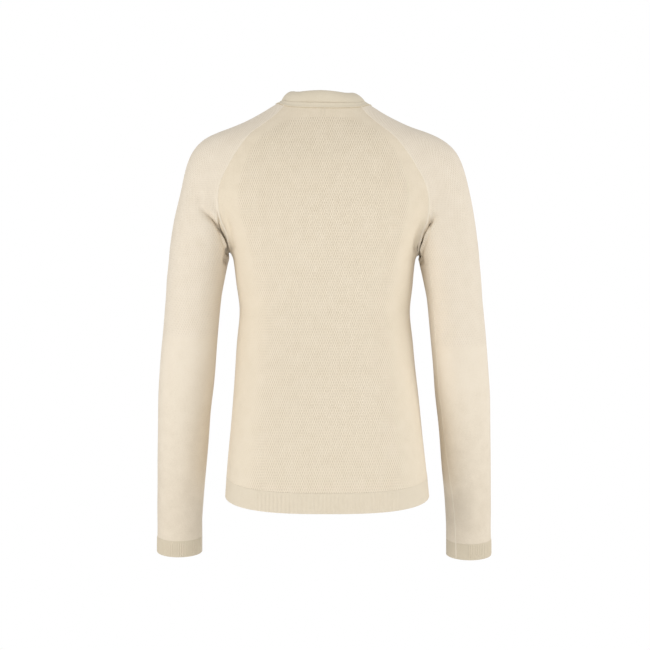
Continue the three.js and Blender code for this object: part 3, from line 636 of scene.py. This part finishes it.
def distanceRound(p, behind):
    # Signed distance round from the middle of the back, or of the front
    turn = np.arctan2(p[..., 0] - leanAt(p[..., 2]), p[..., 1]) % (2 * math.pi)
    row = np.clip((p[..., 2] - sectionHeights[0]) / 6.0, 0, len(sectionHeights) - 1.001)
    column = np.clip(turn / math.radians(2), 0, len(sectionTurns) - 1.001)
    i, k = row.astype(int), column.astype(int)
    s, t = row - i, column - k
    run = ((sectionRun[i, k] * (1 - s) + sectionRun[i + 1, k] * s) * (1 - t)
           + (sectionRun[i, k + 1] * (1 - s) + sectionRun[i + 1, k + 1] * s) * t)
    total = sectionRun[i, -1] * (1 - s) + sectionRun[i + 1, -1] * s
    fromBack = np.where(turn > math.pi, run - total, run)
    front = len(sectionTurns) // 2
    frontMiddle = sectionRun[i, front] * (1 - s) + sectionRun[i + 1, front] * s
    return np.where(behind, fromBack, run - frontMiddle)


def linear(code):
    parts = [int(code[i:i + 2], 16) / 255 for i in (0, 2, 4)]
    return tuple(c / 12.92 if c <= 0.04045 else ((c + 0.055) / 1.055) ** 2.4 for c in parts) + (1.0,)


def addNode(tree, kind, links=(), **settings):
    # links: input name or number to a socket or a value
    node = tree.nodes.new(kind)
    for key, value in settings.items():
        setattr(node, key, value)
    for key, value in dict(links).items():
        if isinstance(value, bpy.types.NodeSocket):
            tree.links.new(value, node.inputs[key])
        else:
            node.inputs[key].default_value = value
    return node


def newMaterial(name, roughness, sheen, colour):
    material = bpy.data.materials.new(name)
    material.use_nodes = True
    material.diffuse_color = colour
    tree = material.node_tree
    shader = tree.nodes["Principled BSDF"]
    shader.inputs["Base Color"].default_value = colour
    shader.inputs["Roughness"].default_value = roughness
    shader.inputs["IOR"].default_value = 1.53  # polyamide
    shader.inputs["Specular IOR Level"].default_value = 0.25
    shader.inputs["Sheen Weight"].default_value = sheen
    shader.inputs["Sheen Roughness"].default_value = 0.5
    return material, tree, shader


birdsEye = {
    "colour": "e1d4be", "shade": "a89676", "pale": "efe5d5",
    "walePitch": 3.3,      # mm between ovals side by side
    "coursePitch": 4.0,    # mm between rows of ovals, each row set half a pitch aside
    "depth": 0.0004,
    "roughness": 0.86, "sheen": 0.12,
    "slack": [(-0.22, -0.02, 0.07)],  # painted shade: between these heights in metres the tone is painted darker and darker, standing in for light that falls off there
}


tones = {"start": 0.43, "ovals": 0.22, "plain": 0.4, "heather": 0.16, "yarn": 0.25, "middle": 0.45}
jersey = {"pitch": 2.4, "amount": 0.05}  # under 1 mm a stitch in the real one, drawn coarser so that it shows


def knitMaterial(name, look):
    # Seamless-knit polyamide: yarn in small ovals, set row by row, with plain jersey where the mesh ends.
    # It gives a dry matt face with a fine, even grain of darker dimples.
    material, tree, shader = newMaterial(name, look["roughness"], look["sheen"], linear(look["colour"]))

    def calc(operation, a, b=0.0, c=0.0):
        return addNode(tree, "ShaderNodeMath", {0: a, 1: b, 2: c}, operation=operation).outputs[0]

    def read(key):
        return addNode(tree, "ShaderNodeAttribute", attribute_name=key).outputs["Fac"]

    wale, course, mesh = read("wale"), read("course"), read("mesh")
    across = calc("COSINE", calc("MULTIPLY", wale, 2 * math.pi / look["walePitch"]))
    down = calc("COSINE", calc("MULTIPLY", course, math.pi / look["coursePitch"]))
    ovals = calc("MULTIPLY", calc("MULTIPLY", across, down), mesh)
    columns = calc("COSINE", calc("MULTIPLY", wale, 2 * math.pi / jersey["pitch"]))
    plain = calc("MULTIPLY", columns, calc("MULTIPLY", calc("SUBTRACT", 1.0, mesh), jersey["amount"]))
    place = addNode(tree, "ShaderNodeTexCoord").outputs["Object"]
    heather, yarn = [addNode(tree, "ShaderNodeTexNoise", {"Vector": place, "Scale": scale, "Detail": detail})
                     .outputs["Fac"] for scale, detail in ((60.0, 3.0), (900.0, 2.0))]
    tone = calc("MULTIPLY_ADD", ovals, tones["ovals"], tones["start"])
    tone = calc("MULTIPLY_ADD", plain, tones["plain"], tone)
    tone = calc("MULTIPLY_ADD", calc("SUBTRACT", heather, 0.5), tones["heather"], tone)
    tone = calc("MULTIPLY_ADD", calc("SUBTRACT", yarn, 0.5), tones["yarn"], tone)
    height = addNode(tree, "ShaderNodeSeparateXYZ", {0: place}).outputs["Z"]
    # Painted shade: the tone darkens with height between the listed heights, standing in for light that falls off
    for start, end, amount in look["slack"]:
        darker = addNode(tree, "ShaderNodeMapRange", {0: height, 1: start, 2: end, 3: 0.0, 4: amount})
        tone = calc("ADD", tone, darker.outputs[0])
    ramp = addNode(tree, "ShaderNodeValToRGB", {"Fac": tone})
    ramp.color_ramp.elements[0].color = linear(look["pale"])
    ramp.color_ramp.elements[1].color = linear(look["shade"])
    middle = ramp.color_ramp.elements.new(tones["middle"])
    middle.color = linear(look["colour"])
    tree.links.new(ramp.outputs["Color"], shader.inputs["Base Color"])
    relief = calc("MULTIPLY_ADD", yarn, 0.25, calc("MULTIPLY", calc("ADD", ovals, plain), -1.0))
    bump = addNode(tree, "ShaderNodeBump", {"Height": relief, "Strength": 0.6, "Distance": look["depth"]})
    tree.links.new(bump.outputs["Normal"], shader.inputs["Normal"])
    return material


def knitLike(name, colour, pale, shade, **changes):
    return knitMaterial(name, {**birdsEye, "colour": colour, "pale": pale, "shade": shade, **changes})


bodyKnit = knitMaterial("birdsEyeKnitBody", birdsEye)
# The sleeves' tone is painted darker towards the cuffs, a painted shade
sleeveKnit = knitLike("fineKnitSleeve", "e4d8c5", "f0e7da", "ac9a80", walePitch=2.9, coursePitch=3.4, depth=0.0003,
                      slack=[(-0.4, -0.58, 0.1)])
smoothKnit = knitLike("smoothKnitCollar", "dacfba", "e3d9c7", "bfb195", depth=0.0002)
ribKnit = knitLike("ribKnitHem", "dbcfba", "e5dbc9", "bfaf94")
cuffKnit = knitLike("ribKnitCuff", "d0c4ae", "dbd1be", "b6a78c")
# Darker thread for the line under the neck tape: its colour is a painted shadow of the groove there
paintedShadowThread = knitLike("coverstitchPaintedShadow", "c9bb9f", "d8ccb3", "b3a384", depth=0.0002)
seamThread = knitLike("flatlockThread", "e5dac8", "ece3d3", "cfc1aa", depth=0.0002)


def wallGrids(fine, raised, thickness, rowsInside, moved=0.0):
    # Outer and inner points; ribs are raised on the outer face only
    outward = outwardAt(fine)
    moved = moved + np.zeros(fine.shape)
    outer = fine + moved + outward * raised[..., None]
    keep = np.unique(np.linspace(0, fine.shape[1] - 1, rowsInside).astype(int))
    inner = fine[:, keep] + moved[:, keep] - outward[:, keep] * thickness
    return outer, inner


def plainKnit(grid, run):
    wale = np.repeat(run[:, None], grid.shape[1], 1)
    return wale, wale + (run[1] - run[0]), grid[..., 2], np.zeros(grid.shape[:2])


print("body")
bodyGrid = {"perColumn": 5, "spacing": 3.2, "closeSpacing": 2.0, "closeLength": 130, "closeAtEnd": True}
innerRows = {"body": 40, "sleeve": 70, "band": 6}
fineBody = refine(bodyCoarse, **bodyGrid)
course = fineBody[..., 2]
behind = np.repeat(fineBody[:, :1, 1] > 0, fineBody.shape[1], 1)
wale = distanceRound(fineBody, behind)
nextWale = distanceRound(np.roll(fineBody, -1, 0), behind)
meshHalf = {"z": [-540, -420, -300, -226, -180, -141, -112, -91, -69, -47, -33, -26, -19],
            "half": [120, 108, 102, 112, 122, 128, 123, 116, 106, 90, 68, 50, 20]}
halfMesh = np.interp(course, meshHalf["z"], meshHalf["half"])
meshEdge = np.interp(course, [-300, -160], [30, 7])
meshShare = 1 - ease(-0.7, 0.3, (np.abs(wale) - halfMesh) / meshEdge)
meshShare *= np.where(behind, 1 - ease(-24, -18, course), 1 - ease(-75, -55, course))
fromTop = np.linalg.norm(fineBody - fineBody[:, -1:], axis=-1)
fromHem = np.linalg.norm(fineBody - fineBody[:, :1], axis=-1)
bodyOutward = outwardAt(fineBody)
swell = looseness(fineBody, 4, 1.0) * ease(0, 30, fromTop) * ease(0, 30, fromHem)
moved = creaseMove(fineBody, bodyOutward, "body") * ease(0, 8, fromTop)[..., None]
moved += bodyOutward * swell[..., None]
moved += sinkMove(fineBody, bodyOutward, fromTop, "body")
outer, inner = wallGrids(fineBody, 0 * fromTop, cloth["thick"], innerRows["body"], moved)
body = tubeMesh("bodyKnit", outer, inner, (wale, nextWale, course, meshShare))
finishPiece(body, bodyKnit, ["body"])


def sleeveSwell(p, side):
    return looseness(p, 11 + side, 0.9)


roundness = {"from": -215, "to": -185, "pull": 0.5, "passes": 60}


def roundShoulder(p, run):
    # Stretched cloth draws smooth over the shoulder: points drift to the middle of their neighbours
    share = roundness["pull"] * ease(roundness["from"], roundness["to"], p[..., 2]) * ease(8, 30, run)
    drawn = p.copy()
    for _ in range(roundness["passes"]):
        middle = (np.roll(drawn, 1, 0) + np.roll(drawn, -1, 0)) / 4
        middle[:, 1:-1] += (drawn[:, 2:] + drawn[:, :-2]) / 4
        middle[:, 0], middle[:, -1] = drawn[:, 0], drawn[:, -1]
        drawn += share[..., None] * (middle - drawn)
    return drawn - p


print("sleeves")
sleeveGrid = {"perColumn": 6, "spacing": 3.2, "closeSpacing": 1.4, "closeLength": 130, "closeAtEnd": False}
sleeveLook = {"meshEnd": {1: -338, -1: -352}, "meshAmount": 0.8, "knitRadius": 46.0}
for side, label in ((1, "Left"), (-1, "Right")):
    fine = refine(sleeveCoarse[side], **sleeveGrid)
    run = np.concatenate([np.zeros((len(fine), 1)),
                          np.cumsum(np.linalg.norm(np.diff(fine, axis=1), axis=2), axis=1)], 1)
    down = run[:, -1:] - run
    stepRound = 2 * math.pi / len(fine) * sleeveLook["knitRadius"]
    wale = np.repeat(np.arange(len(fine))[:, None] * stepRound, fine.shape[1], 1)
    meshEnd = sleeveLook["meshEnd"][side]
    meshShare = ease(meshEnd - 6, meshEnd + 4, fine[..., 2])
    meshShare = meshShare * ease(2, 12, run) * sleeveLook["meshAmount"]
    outward = outwardAt(fine)
    moved = creaseMove(fine, outward, "sleeve") * ease(0, 4, run)[..., None]
    moved += sinkMove(fine, outward, run, "sleeve")
    moved += outward * (sleeveSwell(fine, side) * ease(0, 30, run) * ease(0, 30, down))[..., None]
    moved += roundShoulder(fine, run)
    outer, inner = wallGrids(fine, 0 * run, cloth["thick"], innerRows["sleeve"], moved)
    piece = tubeMesh("sleeveKnit" + label, outer, inner, (wale, wale + stepRound, down, meshShare))
    nodes = [f"sleeve_{part}_{label.lower()}" for part in ("upper", "lower")]
    finishPiece(piece, sleeveKnit, nodes)

print("collar")
collar = {"half": 47.5, "back": 51, "front": 54, "rise": 18.5, "riseInFront": 23, "fullness": 2.4,
          "sideDip": 0.243, "lift": 0.4, "joinAt": 61, "joinRise": 0.4, "joinReach": 1.3}
wall = {"up": [0, 0.17, 0.33, 0.5, 0.66, 0.8, 0.9, 0.97, 1.02, 1.035, 1.02, 0.97, 0.9, 0.7, 0.5, 0.25, 0],
        "inward": [0, 0, 0, 0, 0, 0.0, 0.02, 0.1, 0.28, 0.5, 0.72, 0.9, 0.98, 1, 1, 1, 1]}
turns = np.arange(0, 360, 1.0)
halfTurn = np.where(turns <= 180, turns, 360 - turns)
sides = np.where(turns <= 180, 1, -1)
seam = np.where((sides > 0)[:, None], neckPoint(halfTurn, 1), neckPoint(halfTurn, -1))
angle = np.radians(halfTurn)
rise = collar["rise"] + (collar["riseInFront"] - collar["rise"]) * ease(60, 180, halfTurn)
deep = np.where(np.cos(angle) > 0, collar["back"], collar["front"])
top = np.stack([leanAt(0) + sides * collar["half"] * np.sin(angle), deep * np.cos(angle),
                seam[:, 2] + rise * (1 - collar["sideDip"] * np.sin(angle) ** 2)], -1)
away = np.stack([sides * np.sin(angle), np.cos(angle), 0 * angle], -1)
foot = seam + [0, 0, collar["lift"]]
rising = top - foot
flat = away - rising * ((away * rising).sum(1) / (rising ** 2).sum(1))[:, None]
flat /= np.linalg.norm(flat, axis=1, keepdims=True)
up, inward = np.array(wall["up"]), np.array(wall["inward"])
bulge = collar["fullness"] * 4 * up * (1 - up) - inward * cloth["collarThick"]
join = collar["joinRise"] * hump(turns - collar["joinAt"], collar["joinReach"])  # the band's own join
bulge = bulge[None] + join[:, None] * (inward < 0.5) * (up > 0.05)
ring = foot[:, None] + rising[:, None] * up[None, :, None] + flat[:, None] * bulge[..., None]
half = 10  # of the wall's points, those of the outer face
collarRun = np.concatenate([[0], np.cumsum(np.linalg.norm(np.diff(ring[:, 3], axis=0), axis=1))])
band = tubeMesh("collarBand", ring[:, :half], ring[:, half:][:, ::-1], plainKnit(ring[:, :half], collarRun))
finishPiece(band, smoothKnit, ["collar"])

print("hem band and cuffs")
ribs = {"height": 0.75, "hemPitch": 5.8, "hemEachFace": 36, "cuffPitch": 3.2, "cuffRadius": 33}
total, shareAt = roundTrunk(-lengths["hem"] - lengths["hemBand"] / 2)
hemLengths = np.arange(0, total, total / 1040)
ribbed = ribs["hemEachFace"] * ribs["hemPitch"]
fromMiddle = np.minimum(hemLengths % (total / 2), total / 2 - hemLengths % (total / 2))
phase = ((hemLengths + total / 4) % (total / 2) - total / 4) / ribs["hemPitch"]
relief = ribs["height"] * (0.5 - 0.5 * np.cos(2 * math.pi * (phase + ribbed / 2 / ribs["hemPitch"])))
relief *= 1 - ease(ribbed / 2 - 3, ribbed / 2 + 3, fromMiddle)
shares = shareAt(hemLengths)
levels = np.linspace(0, 1, 11)
hemTop = trunkPoint(shares, -cloth["seamGap"] / 2, atHem=True)
hemFoot = trunkPoint(shares, -lengths["hemBand"], atHem=True)
hemFine = hemTop[:, None] * (1 - levels[None, :, None]) + hemFoot[:, None] * levels[None, :, None]
roundOff = ease(0, 0.12, levels) * (1 - 0.5 * ease(0.9, 1, levels))
hemRelief = relief[:, None] * roundOff[None]
outer, inner = wallGrids(hemFine, hemRelief, cloth["bandThick"], innerRows["band"])
hemBand = tubeMesh("hemRib", outer, inner, plainKnit(hemFine, hemLengths))
finishPiece(hemBand, ribKnit, ["hem_band"])

cuffRibs = {1: (-160, 50), -1: (-95, 115)}
for side, label in ((1, "Left"), (-1, "Right")):
    start, end = np.radians(cuffRibs[side])
    count = round((end - start) * ribs["cuffRadius"] / ribs["cuffPitch"])
    angle = np.arange(0, 2 * math.pi, 2 * math.pi / 520)
    share = ((angle - start) % (2 * math.pi)) / (end - start)
    relief = np.where(share < 1, ribs["height"] * (0.5 - 0.5 * np.cos(2 * math.pi * share * count)), 0)
    topRing = sleevePoint(side, angle, -lengths["cuffSeam"] - cloth["seamGap"] / 2, lengths["forearmTilt"])
    footRing = sleevePoint(side, angle, -lengths["cuffSeam"] - lengths["cuff"], lengths["forearmTilt"])
    fine = topRing[:, None] * (1 - levels[None, :, None]) + footRing[:, None] * levels[None, :, None]
    outer, inner = wallGrids(fine, relief[:, None] * roundOff[None], cloth["bandThick"], innerRows["band"])
    piece = tubeMesh("cuffRib" + label, outer, inner, plainKnit(fine, angle * ribs["cuffRadius"]))
    finishPiece(piece, cuffKnit, ["cuff_" + label.lower()])


strip = {"under": 0.9, "sunk": 0.5}  # mm that its back lies in the cloth, and its face where it is hidden


def stripAlong(name, line, across, look, material, closed=False, lifted=None, shown=None):
    # A narrow sewn strip that lies on the cloth: rows across it, raised by heights, with stitches along it.
    # Where shown falls to 0 it sinks into the cloth
    points = settle(line[:, None] + across[:, None] * np.array(look["offsets"])[None, :, None], 4)
    outward = outwardAt(points)
    run = np.concatenate([[0], np.cumsum(np.linalg.norm(np.diff(line, axis=0), axis=1))])
    if lifted is not None:
        points = points + outward * lifted(points, run)[..., None]
    shown = np.ones(len(line)) if shown is None else shown
    stitches = 1 + look["relief"] * np.cos(2 * math.pi * run / look["pitch"])
    raised = np.array(look["heights"])[None] * (stitches * shown)[:, None] - strip["sunk"] * (1 - shown)[:, None]
    upper = points + outward * raised[..., None]
    lower = points - outward * strip["under"]
    rings = np.concatenate([upper, lower[:, ::-1]], 1)
    columns, rows = rings.shape[:2]
    index = np.arange(columns * rows).reshape(columns, rows)
    a = index if closed else index[:-1]
    b = np.roll(index, -1, 0) if closed else index[1:]
    faces = np.stack([a, b, np.roll(b, -1, 1), np.roll(a, -1, 1)], -1).reshape(-1, 4)
    ends = [] if closed else [index[0][::-1].tolist(), index[-1].tolist()]
    if (np.cross(upper[1, 0] - upper[0, 0], upper[0, 1] - upper[0, 0]) * outward[0, 0]).sum() < 0:
        faces, ends = faces[:, ::-1], [end[::-1] for end in ends]
    mesh = bpy.data.meshes.new(name)
    mesh.from_pydata((rings.reshape(-1, 3) * mm).tolist(), [], faces.tolist() + ends)
    mesh.shade_smooth()
    mesh.attributes.new("wale", "FLOAT", "POINT").data.foreach_set(
        "value", np.repeat(run, rows).astype(np.float32))
    piece = bpy.data.objects.new(name, mesh)
    bpy.context.scene.collection.objects.link(piece)
    return finishPiece(piece, material)


def squareTo(line):
    across = np.cross(np.gradient(line, axis=0), outwardAt(line))
    return across / np.linalg.norm(across, axis=1, keepdims=True)


print("seams")
flatlock = {"offsets": [-1.5, -1.2, -0.6, 0, 0.6, 1.2, 1.5], "heights": [0, 0.28, 0.4, 0.43, 0.4, 0.28, 0],
            "pitch": 2.2, "relief": 0.25, "above": {1: -176, -1: -168, "inFront": -176},
            "ends": (0.006, 0.994), "step": 0.55}
for side, label in ((1, "Left"), (-1, "Right")):
    front, back = armholes[side]["front"], armholes[side]["back"]
    path = np.concatenate([front, back[::-1][1:]])
    length = np.linalg.norm(np.diff(path, axis=0), axis=1).sum()
    line = curveThrough(path, np.linspace(*flatlock["ends"], int(length / flatlock["step"])))
    above = flatlock["above"][side]  # below this the crease hides it
    inFront = flatlock["above"]["inFront"]
    height = line[:, 2]
    shown = np.where(line[:, 1] > 0, ease(above - 12, above, height), ease(inFront - 12, inFront, height))
    stripAlong("flatlockSeam" + label, line, squareTo(line), flatlock, seamThread, shown=shown)

# Seam down the underside of each sleeve and cuff: height, and degrees behind the inner side
underarm = {"z": [-226, -240, -300, -381, -459, -537, -604, -657],
            1: [12, 8, 4, 2, 6, 9, 12, 15],
            -1: [44, 41, 34, 29, 31, 42, 50, 53],
            "from": -222, "to": -657, "points": 500, "fade": (-224, -236)}
coverStitch = {"offsets": [-0.9, -0.7, -0.3, 0.3, 0.7, 0.9], "heights": [0, 0.2, 0.3, 0.3, 0.2, 0],
               "pitch": 2.2, "relief": 0.2}
for side, label in ((1, "Left"), (-1, "Right")):
    drops = np.linspace(underarm["from"], underarm["to"], underarm["points"])
    turns = math.pi + np.radians(smoothCurve(underarm["z"], underarm[side])(drops))
    tilts = lengths["forearmTilt"] * ease(-lengths["biceps"], -lengths["cuffSeam"] + 120, drops)
    line = np.stack([sleevePoint(side, turn, z, tilt) for turn, z, tilt in zip(turns, drops, tilts)])
    line = settle(line, 4)

    def lifted(p, run, side=side):
        return sleeveSwell(p, side) * (ease(-14, 16, run) * ease(0, 30, run[-1] - 24 - run))[:, None]

    stripAlong("underarmSeam" + label, line, squareTo(line), coverStitch, seamThread,
               lifted=lifted, shown=ease(*underarm["fade"], line[:, 2]))

# The stitched-down edge below the collar
neckTape = {"offsets": [0.4, 0.8, 1.4, 2.0, 3.0, 5.0, 6.6, 7.6, 8.3, 8.5],
            "heights": [0, 1.2, 1.5, 1.4, 0.9, 0.85, 1.0, 1.3, 1.2, 0], "pitch": 2.6, "relief": 0.04}
downwards = np.cross(np.roll(seam, -1, 0) - np.roll(seam, 1, 0), outwardAt(seam))
downwards /= np.linalg.norm(downwards, axis=1, keepdims=True)
if (downwards[:, 2] > 0).mean() > 0.5:
    downwards = -downwards
stripAlong("neckSeamTape", seam, downwards, neckTape, smoothKnit, closed=True)
# A thin stitched ridge under the tape, whose darker thread colour is a painted shadow of the groove along the
# tape's lower edge
neckShadowStitch = {"offsets": [8.5, 8.8, 9.2, 9.5], "heights": [0, 0.25, 0.25, 0], "pitch": 2.6, "relief": 0.3}
stripAlong("neckSeamPaintedShadowStitch", seam, downwards, neckShadowStitch, paintedShadowThread, closed=True)
backTack = {"offsets": [-0.7, -0.4, 0.4, 0.7], "heights": [0, 0.35, 0.35, 0], "pitch": 1.6, "relief": 0.3,
            "out": {"Left": 5.4, "Right": 0.4}, "z": np.linspace(-9, -20, 24)}
for label, x in backTack["out"].items():
    line = np.array([seenPoint(x, z, 1) for z in backTack["z"]])
    stripAlong("backTack" + label, line, squareTo(line), backTack, smoothKnit)

for side in (1, -1):
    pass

print("floor, lights and camera")
studio = {"floorRadius": 4, "floorHeight": -1.42, "skyLight": 0.5, "skySeen": 1.0}
picture = {"distance": 3.2, "height": -0.322, "width": 0.9555, "sensor": 36}  # metres, and the sensor in mm
floorMesh = bpy.data.meshes.new("floor")
rim = [(studio["floorRadius"] * math.cos(t), studio["floorRadius"] * math.sin(t), studio["floorHeight"])
       for t in np.linspace(0, 2 * math.pi, 96, endpoint=False)]
floorMesh.from_pydata(rim, [], [tuple(range(96))])
floor = bpy.data.objects.new("floor", floorMesh)
bpy.context.scene.collection.objects.link(floor)
floorPaint, _, _ = newMaterial("mattWhitePaint", 0.9, 0.0, linear("fbfbfa"))
floorMesh.materials.append(floorPaint)

world = bpy.data.worlds.new("studio")
bpy.context.scene.world = world
world.use_nodes = True
worldTree = world.node_tree
worldTree.nodes["Background"].inputs["Color"].default_value = (1, 1, 1, 1)
worldTree.nodes["Background"].inputs["Strength"].default_value = studio["skyLight"]
seenSky = addNode(worldTree, "ShaderNodeBackground", {"Color": (1, 1, 1, 1), "Strength": studio["skySeen"]})
rays = addNode(worldTree, "ShaderNodeLightPath")
skyMix = addNode(worldTree, "ShaderNodeMixShader", {0: rays.outputs["Is Camera Ray"]})
worldTree.links.new(worldTree.nodes["Background"].outputs[0], skyMix.inputs[1])
worldTree.links.new(seenSky.outputs[0], skyMix.inputs[2])
worldTree.links.new(skyMix.outputs[0], worldTree.nodes["World Output"].inputs["Surface"])


def addLight(name, place, aim, size, power):
    light = bpy.data.lights.new(name, "AREA")
    light.shape = "DISK"
    light.size = size
    light.energy = power
    lamp = bpy.data.objects.new(name, light)
    lamp.location = place
    direction = np.array(aim, float) - place
    lamp.rotation_euler = Vector(direction).to_track_quat("-Z", "Y").to_euler()
    bpy.context.scene.collection.objects.link(lamp)


for softbox in ({"name": "softboxRight", "place": (-2.6, 0.6, 0.1), "size": 1.5, "power": 27},
                {"name": "softboxLeft", "place": (2.2, 1.6, 0.1), "size": 1.5, "power": 30},
                {"name": "softboxBehind", "place": (-0.9, 3.4, -0.2), "size": 1.2, "power": 20},
                {"name": "softboxOverhead", "place": (0.0, 0.5, 2.0), "size": 1.8, "power": 4},
                {"name": "softboxInFront", "place": (0.6, -2.8, 0.3), "size": 1.5, "power": 13}):
    addLight(softbox["name"], softbox["place"], (0, 0, -0.33), softbox["size"], softbox["power"])

camera = bpy.data.cameras.new("camera")
camera.sensor_width = picture["sensor"]
camera.lens = picture["sensor"] * picture["distance"] / picture["width"]
camera.clip_end = 100
view = bpy.data.objects.new("camera", camera)
view.location = (0, picture["distance"], picture["height"])
view.rotation_euler = (math.pi / 2, 0, math.pi)
bpy.context.scene.collection.objects.link(view)
bpy.context.scene.camera = view
bpy.context.scene.view_settings.view_transform = "Standard"
